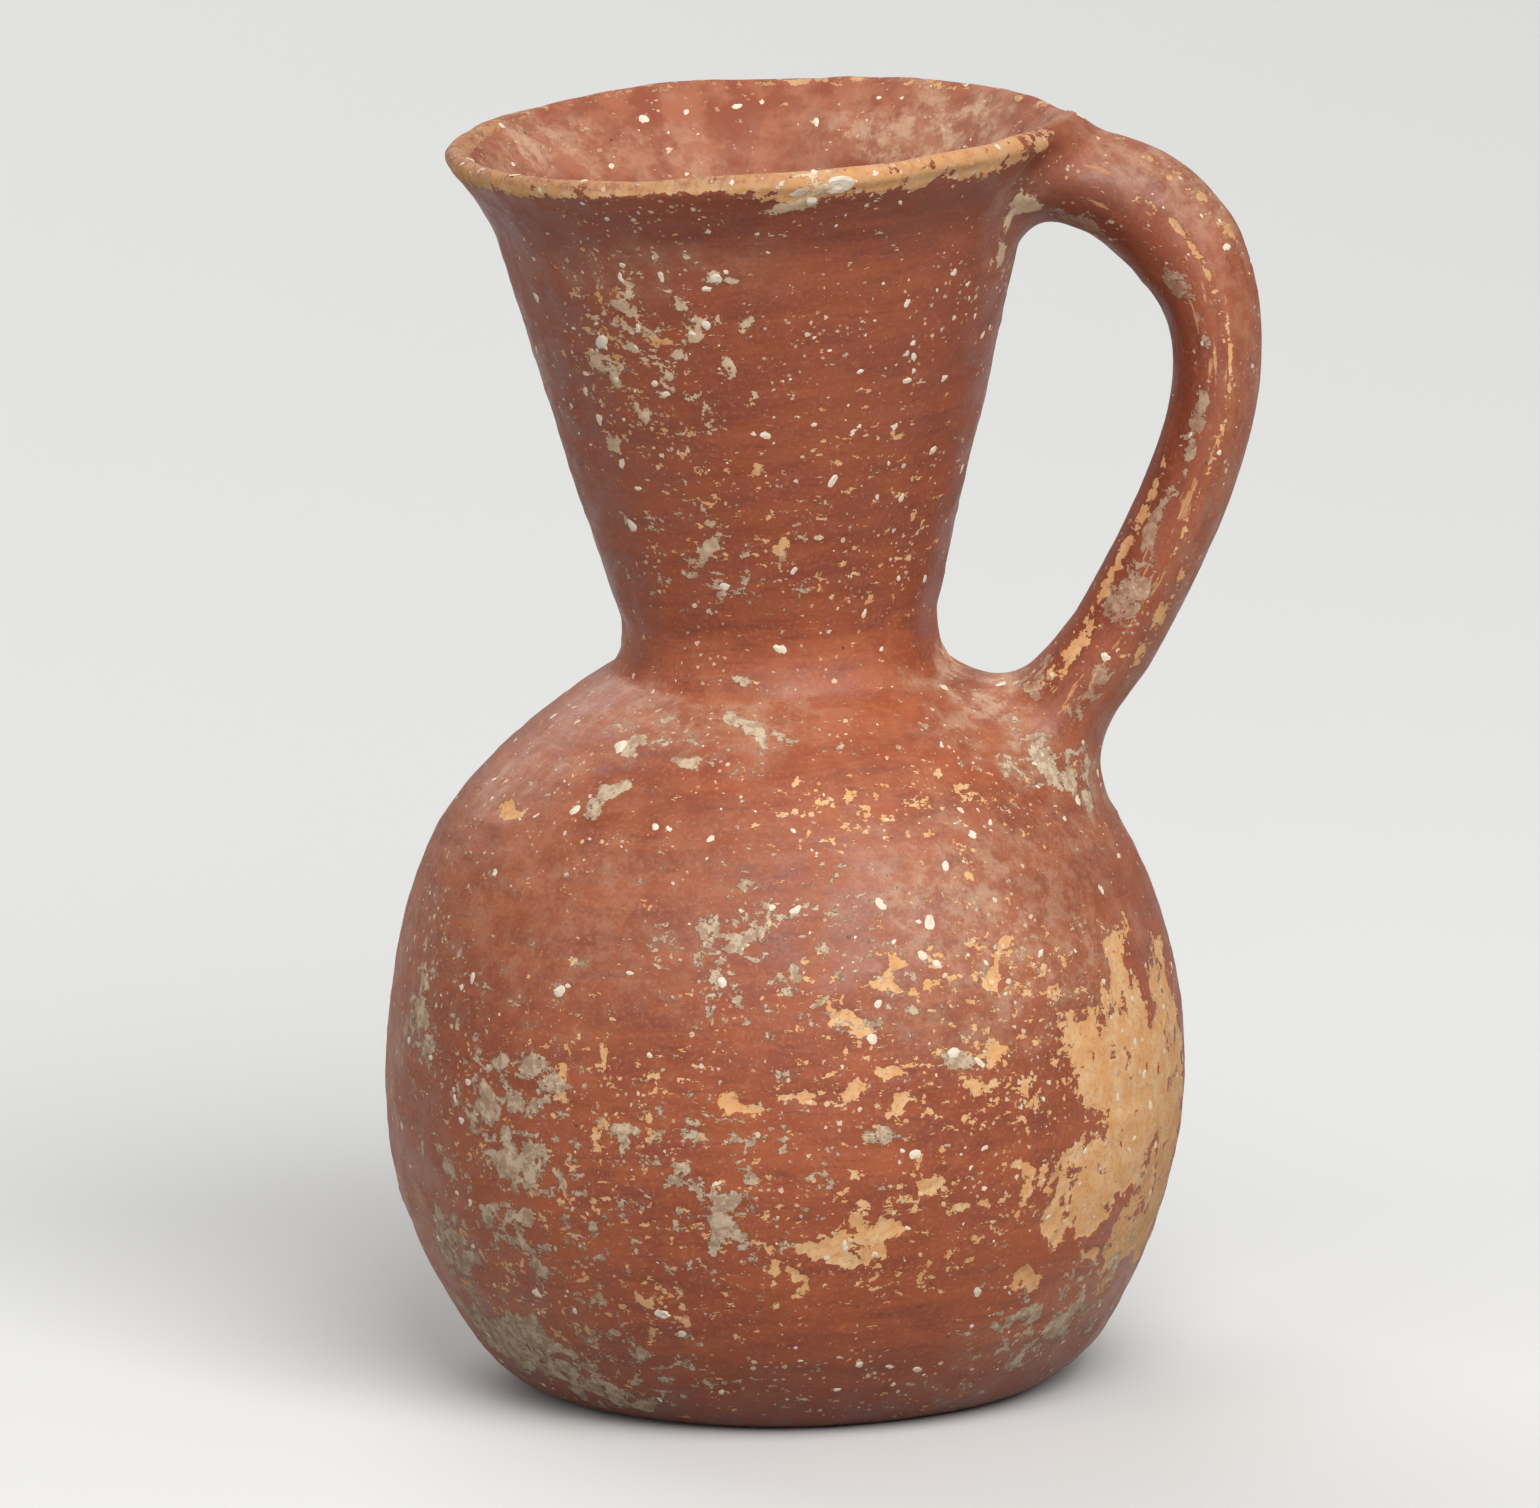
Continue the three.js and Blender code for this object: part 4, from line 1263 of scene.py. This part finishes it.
def slip_colour(shader, mottle, lines):
    """Red slip: clouded, faintly streaked, dusty in the creases, painted lighter where it faces up, and
    painted darker as shade low down, under the rim, on the neck and on the handle.
    """
    clouds = shader.ramp(shader.noise(24), 0.36, 0.64, 0.3, 0.78)
    fine_lines = shader.stroke_noise(1.7, 4, 0.6)
    colour = shader.mix(clouds, DEEP_SLIP, WARM_SLIP)
    tints = [
        (mottle, 0.44, 0.6, 0.3, ORANGE_SLIP),
        (lines, 0.5, 0.64, 0.25, DARK_SLIP),
        (lines, 0.48, 0.36, 0.3, ORANGE_SLIP),
        (fine_lines, 0.54, 0.66, 0.35, DARK_SLIP),
        (shader.noise(0.5, 2), 0.5, 0.72, 0.35, PALE_SLIP),
    ]
    for pattern, none, full, most, tint in tints:
        colour = shader.mix(shader.ramp(pattern, none, full, 0.0, most), colour, tint)
    # Paler slip where dust lies, and painted light on faces that turn up
    dust_and_top_light = shader.times(shader.share("pale"), shader.ramp(mottle, 0.42, 0.6, 0.2, 0.6))
    colour = shader.mix(dust_and_top_light, colour, PALE_SLIP)
    # Painted shade: the slip mixed toward dark slip near the foot, under the rim, on the neck and on the
    # handle
    painted_shade_share = shader.times(shader.share("painted_shade"), shader.ramp(clouds, 0.0, 1.0, 0.35, 0.65))
    return shader.mix(painted_shade_share, colour, DARK_SLIP)


def bare_share(shader, worn):
    """1 where slip is gone: in torn patches, in crumbs round them and in streaks along the handle."""
    patches = shader.ramp(shader.torn("bare", shader.noise(2.4, 6, 0.6), 3.2), 0.5, 0.54)
    bare = shader.most(patches, shader.crumbs(1.4, 3, worn, 0.68, 0.54))
    streaks = shader.noise(1.2, 5, 0.62, shader.stretched("handle_stroke"))
    streaks = shader.times(streaks, shader.share("streaky"))
    return shader.most(bare, shader.ramp(streaks, 0.56, 0.61, 0.0, 0.55))


def bare_colour(shader, grain):
    """Buff clay, grainy, and stained and dusty on top of the lip."""
    ochre = shader.mix(shader.ramp(shader.noise(2.6, 6, 0.65), 0.38, 0.68), OCHRE, PALE_OCHRE)
    ochre = shader.mix(shader.ramp(grain, 0.5, 0.64, 0.0, 0.5), ochre, DEEP_OCHRE)
    lip_top = shader.share("lip_top")
    stain = shader.times(lip_top, shader.ramp(shader.noise(1.3, 5, 0.7), 0.44, 0.6, 0.0, 0.85))
    ochre = shader.mix(stain, ochre, PALE_SLIP)
    return shader.mix(lip_top, ochre, DUST, "MULTIPLY")


def crust_share(shader):
    """1 where crust is left, in torn patches and in crumbs round them."""
    crusty = shader.ramp(shader.share("crust"), -0.3, 0.6)
    crust = shader.ramp(shader.torn("crust", shader.noise(2.6, 7, 0.68), 4.4), 0.49, 0.57)
    return shader.most(crust, shader.crumbs(1.7, 4, crusty, 0.665, 0.535))


def crust_colour(shader):
    """Grey and cream crust, chalkier on the neck."""
    stain = shader.mix(shader.ramp(shader.noise(1.1, 4, 0.7), 0.42, 0.58), DARK_CRUST, CRUST)
    return shader.mix(shader.share("chalky"), stain, PALE_CRUST)


def slipped_clay():
    """Burnished red slip over buff clay, with bare patches, crust, grits and pits."""
    shader = Shader("slipped_clay")
    mottle = shader.noise(4.5, 6, 0.62)
    lines = shader.stroke_noise(4, 5, 0.62)
    inside = shader.share("inside")
    clay = shader.mix(shader.ramp(mottle, 0.42, 0.6), INSIDE, PALE_INSIDE)
    colour = shader.mix(inside, slip_colour(shader, mottle, lines), clay)

    # A thin pale film, partly painted sheen on the belly and painted highlight on the handle's outer face
    patchy = shader.ramp(shader.noise(2.6, 7, 0.75), 0.42, 0.62, 0.15, 0.7)
    colour = shader.mix(shader.times(shader.share("film_and_sheen"), patchy), colour, FILM_AND_SHEEN_COLOUR)

    worn = shader.ramp(shader.share("bare"), -0.25, 0.6)
    cloudy = shader.most(worn, shader.ramp(shader.noise(13, 3, 0.6), 0.42, 0.62))
    cloudy = shader.times(cloudy, shader.ramp(shader.share("bare"), -0.6, -0.25))
    tint = shader.ramp(shader.noise(1.3), 0.42, 0.58)
    flecks, _ = shader.specks(0.8, 0.5, 0.24, cloudy)
    flecks = shader.times(flecks, shader.blend(inside, 0.52, 0.2))
    colour = shader.mix(flecks, colour, shader.mix(tint, OCHRE, CREAM))

    grain = shader.noise(0.7, 4, 0.65)
    bare = bare_share(shader, worn)
    colour = shader.mix(bare, colour, bare_colour(shader, grain))

    crust = crust_share(shader)
    cover = shader.blend(shader.share("on_handle"), 0.84, 0.5)
    colour = shader.mix(shader.times(crust, cover), colour, crust_colour(shader))

    small, small_tint = shader.specks(1.5, 0.5, 0.36, cloudy)
    small = shader.times(small, shader.blend(inside, 0.82, 0.35))
    colour = shader.mix(small, colour, shader.mix(small_tint, PALE_OCHRE, CREAM))
    pits, _ = shader.specks(2.6, 0.3, 0.26)
    colour = shader.mix(shader.times(pits, 0.6), colour, PIT)

    rough = shader.ramp(mottle, 0.4, 0.6, BURNISHED, UNBURNISHED)
    rough = shader.blend(shader.most(bare, crust), rough, CHALKY_ROUGHNESS)
    rough = shader.blend(inside, rough, INSIDE_ROUGHNESS)
    height = shader.times(grain, 0.06)
    for share, rise in ((lines, 0.1), (bare, -0.05), (crust, 0.07), (small, 0.05), (pits, -0.12)):
        height = shader.plus(height, shader.times(share, rise))
    return shader.finish(colour, rough, height)


def lime_grit():
    """Chalky grit with faint stains."""
    shader = Shader("lime_grit")
    stains = shader.ramp(shader.noise(0.8, 3), 0.45, 0.75, 0.0, 0.6)
    colour = shader.mix(stains, CREAM, PALE_OCHRE)
    height = shader.times(shader.noise(0.35, 3), 0.05)
    return shader.finish(colour, shader.ramp(stains, 0, 1, 0.6, 0.8), height)


REPLACED = {
    "jug_base": ["base_disc", "base_seam_coil"],
    "jug_lower_wall": ["lower_wall"],
    "jug_shoulder": ["shoulder_wall", "neck_luting_coil", "handle_shoulder_luting"],
    "jug_neck": ["neck"],
    "jug_rim": ["rim_coil", "handle_rim_luting"],
    "jug_handle": ["handle"],
}


def jug():
    """All the pieces, riding on the one rigid body."""
    random = np.random.default_rng(SEED)
    whole, skin, shaped = whole_jug(random)
    clay = slipped_clay()
    for number, name in enumerate(PIECES):
        piece = cut_piece(whole, number, name)
        piece.data.materials.append(clay)
        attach(piece, "root")
        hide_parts(*REPLACED[name])
    stones = grits(skin, shaped, random)
    stones.data.materials.append(lime_grit())
    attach(stones, "root")
    bpy.data.meshes.remove(whole)


FLOOR_SIZE = 8.0
FLOOR_COLOUR = srgb(226, 226, 224)
FLOOR_BOUNCE = srgb(120, 120, 124)  # what the floor throws back on the jug
FLOOR_ROUGHNESS = 0.9
# Each lamp's name, place, size and power
LAMPS = [
    ("key", (0.68, -1.33, 1.4), 1.6, 45.5),
    ("fill", (-1.2, -1.3, 0.8), 1.2, 5.5),
    ("back", (-0.7, 1.3, 1.3), 1.6, 16),
]
SKY_STRENGTH = 0.24


def floor():
    """A plain pale floor, which sends on less light than the camera and reflections see."""
    half = FLOOR_SIZE / 2
    mesh = bpy.data.meshes.new("floor")
    corners = [(-half, -half, 0), (half, -half, 0), (half, half, 0), (-half, half, 0)]
    mesh.from_pydata(corners, [], [(0, 1, 2, 3)])
    shader = Shader("floor")
    rays = shader.add("LightPath").outputs
    seen = shader.most(rays["Is Camera Ray"], rays["Is Glossy Ray"])
    seen = shader.most(seen, rays["Is Transmission Ray"])
    mesh.materials.append(shader.finish(shader.mix(seen, FLOOR_BOUNCE, FLOOR_COLOUR), FLOOR_ROUGHNESS))
    ground = add_object("floor", mesh)


def lamp(name, place, size, power):
    """A soft square lamp that faces the jug."""
    light = bpy.data.lights.new(name, "AREA")
    light.size = size
    light.energy = power
    body = add_object(name, light)
    body.location = place
    aim = Vector((0, 0, AIM_HEIGHT * MM)) - body.location
    body.rotation_euler = aim.to_track_quat("-Z", "Y").to_euler()


def studio():
    """Soft light from the upper front right, weaker lamps on the left and behind, and an even sky."""
    for name, place, size, power in LAMPS:
        lamp(name, place, size, power)
    world = bpy.data.worlds.new("studio")
    world.use_nodes = True
    sky = world.node_tree.nodes["Background"]
    sky.inputs["Color"].default_value = (1, 1, 1, 1)
    sky.inputs["Strength"].default_value = SKY_STRENGTH
    bpy.context.scene.world = world


def camera():
    """The camera at the photograph's place, slightly rolled."""
    right = Vector((math.cos(EYE_AZIMUTH), math.sin(EYE_AZIMUTH), 0))
    ahead = Vector((
        -math.sin(EYE_AZIMUTH) * math.cos(EYE_ELEVATION),
        math.cos(EYE_AZIMUTH) * math.cos(EYE_ELEVATION),
        -math.sin(EYE_ELEVATION),
    ))
    up = right.cross(ahead)
    rolled_right = math.cos(EYE_ROLL) * right - math.sin(EYE_ROLL) * up
    rolled_up = math.sin(EYE_ROLL) * right + math.cos(EYE_ROLL) * up
    aim = Vector((0, 0, AIM_HEIGHT)) - AIM_RIGHT * rolled_right - AIM_UP * rolled_up
    place = aim - EYE_DISTANCE * ahead
    data = bpy.data.cameras.new("camera")
    data.sensor_width = SENSOR_WIDTH
    data.lens = FOCAL_PIXELS * SENSOR_WIDTH / PHOTO_WIDTH
    body = add_object("camera", data)
    turn = Matrix((rolled_right, rolled_up, -ahead)).transposed()
    body.matrix_world = Matrix.Translation(place * MM) @ turn.to_4x4()
    bpy.context.scene.camera = body


jug()
floor()
studio()
camera()
bpy.context.scene.view_settings.view_transform = "Standard"
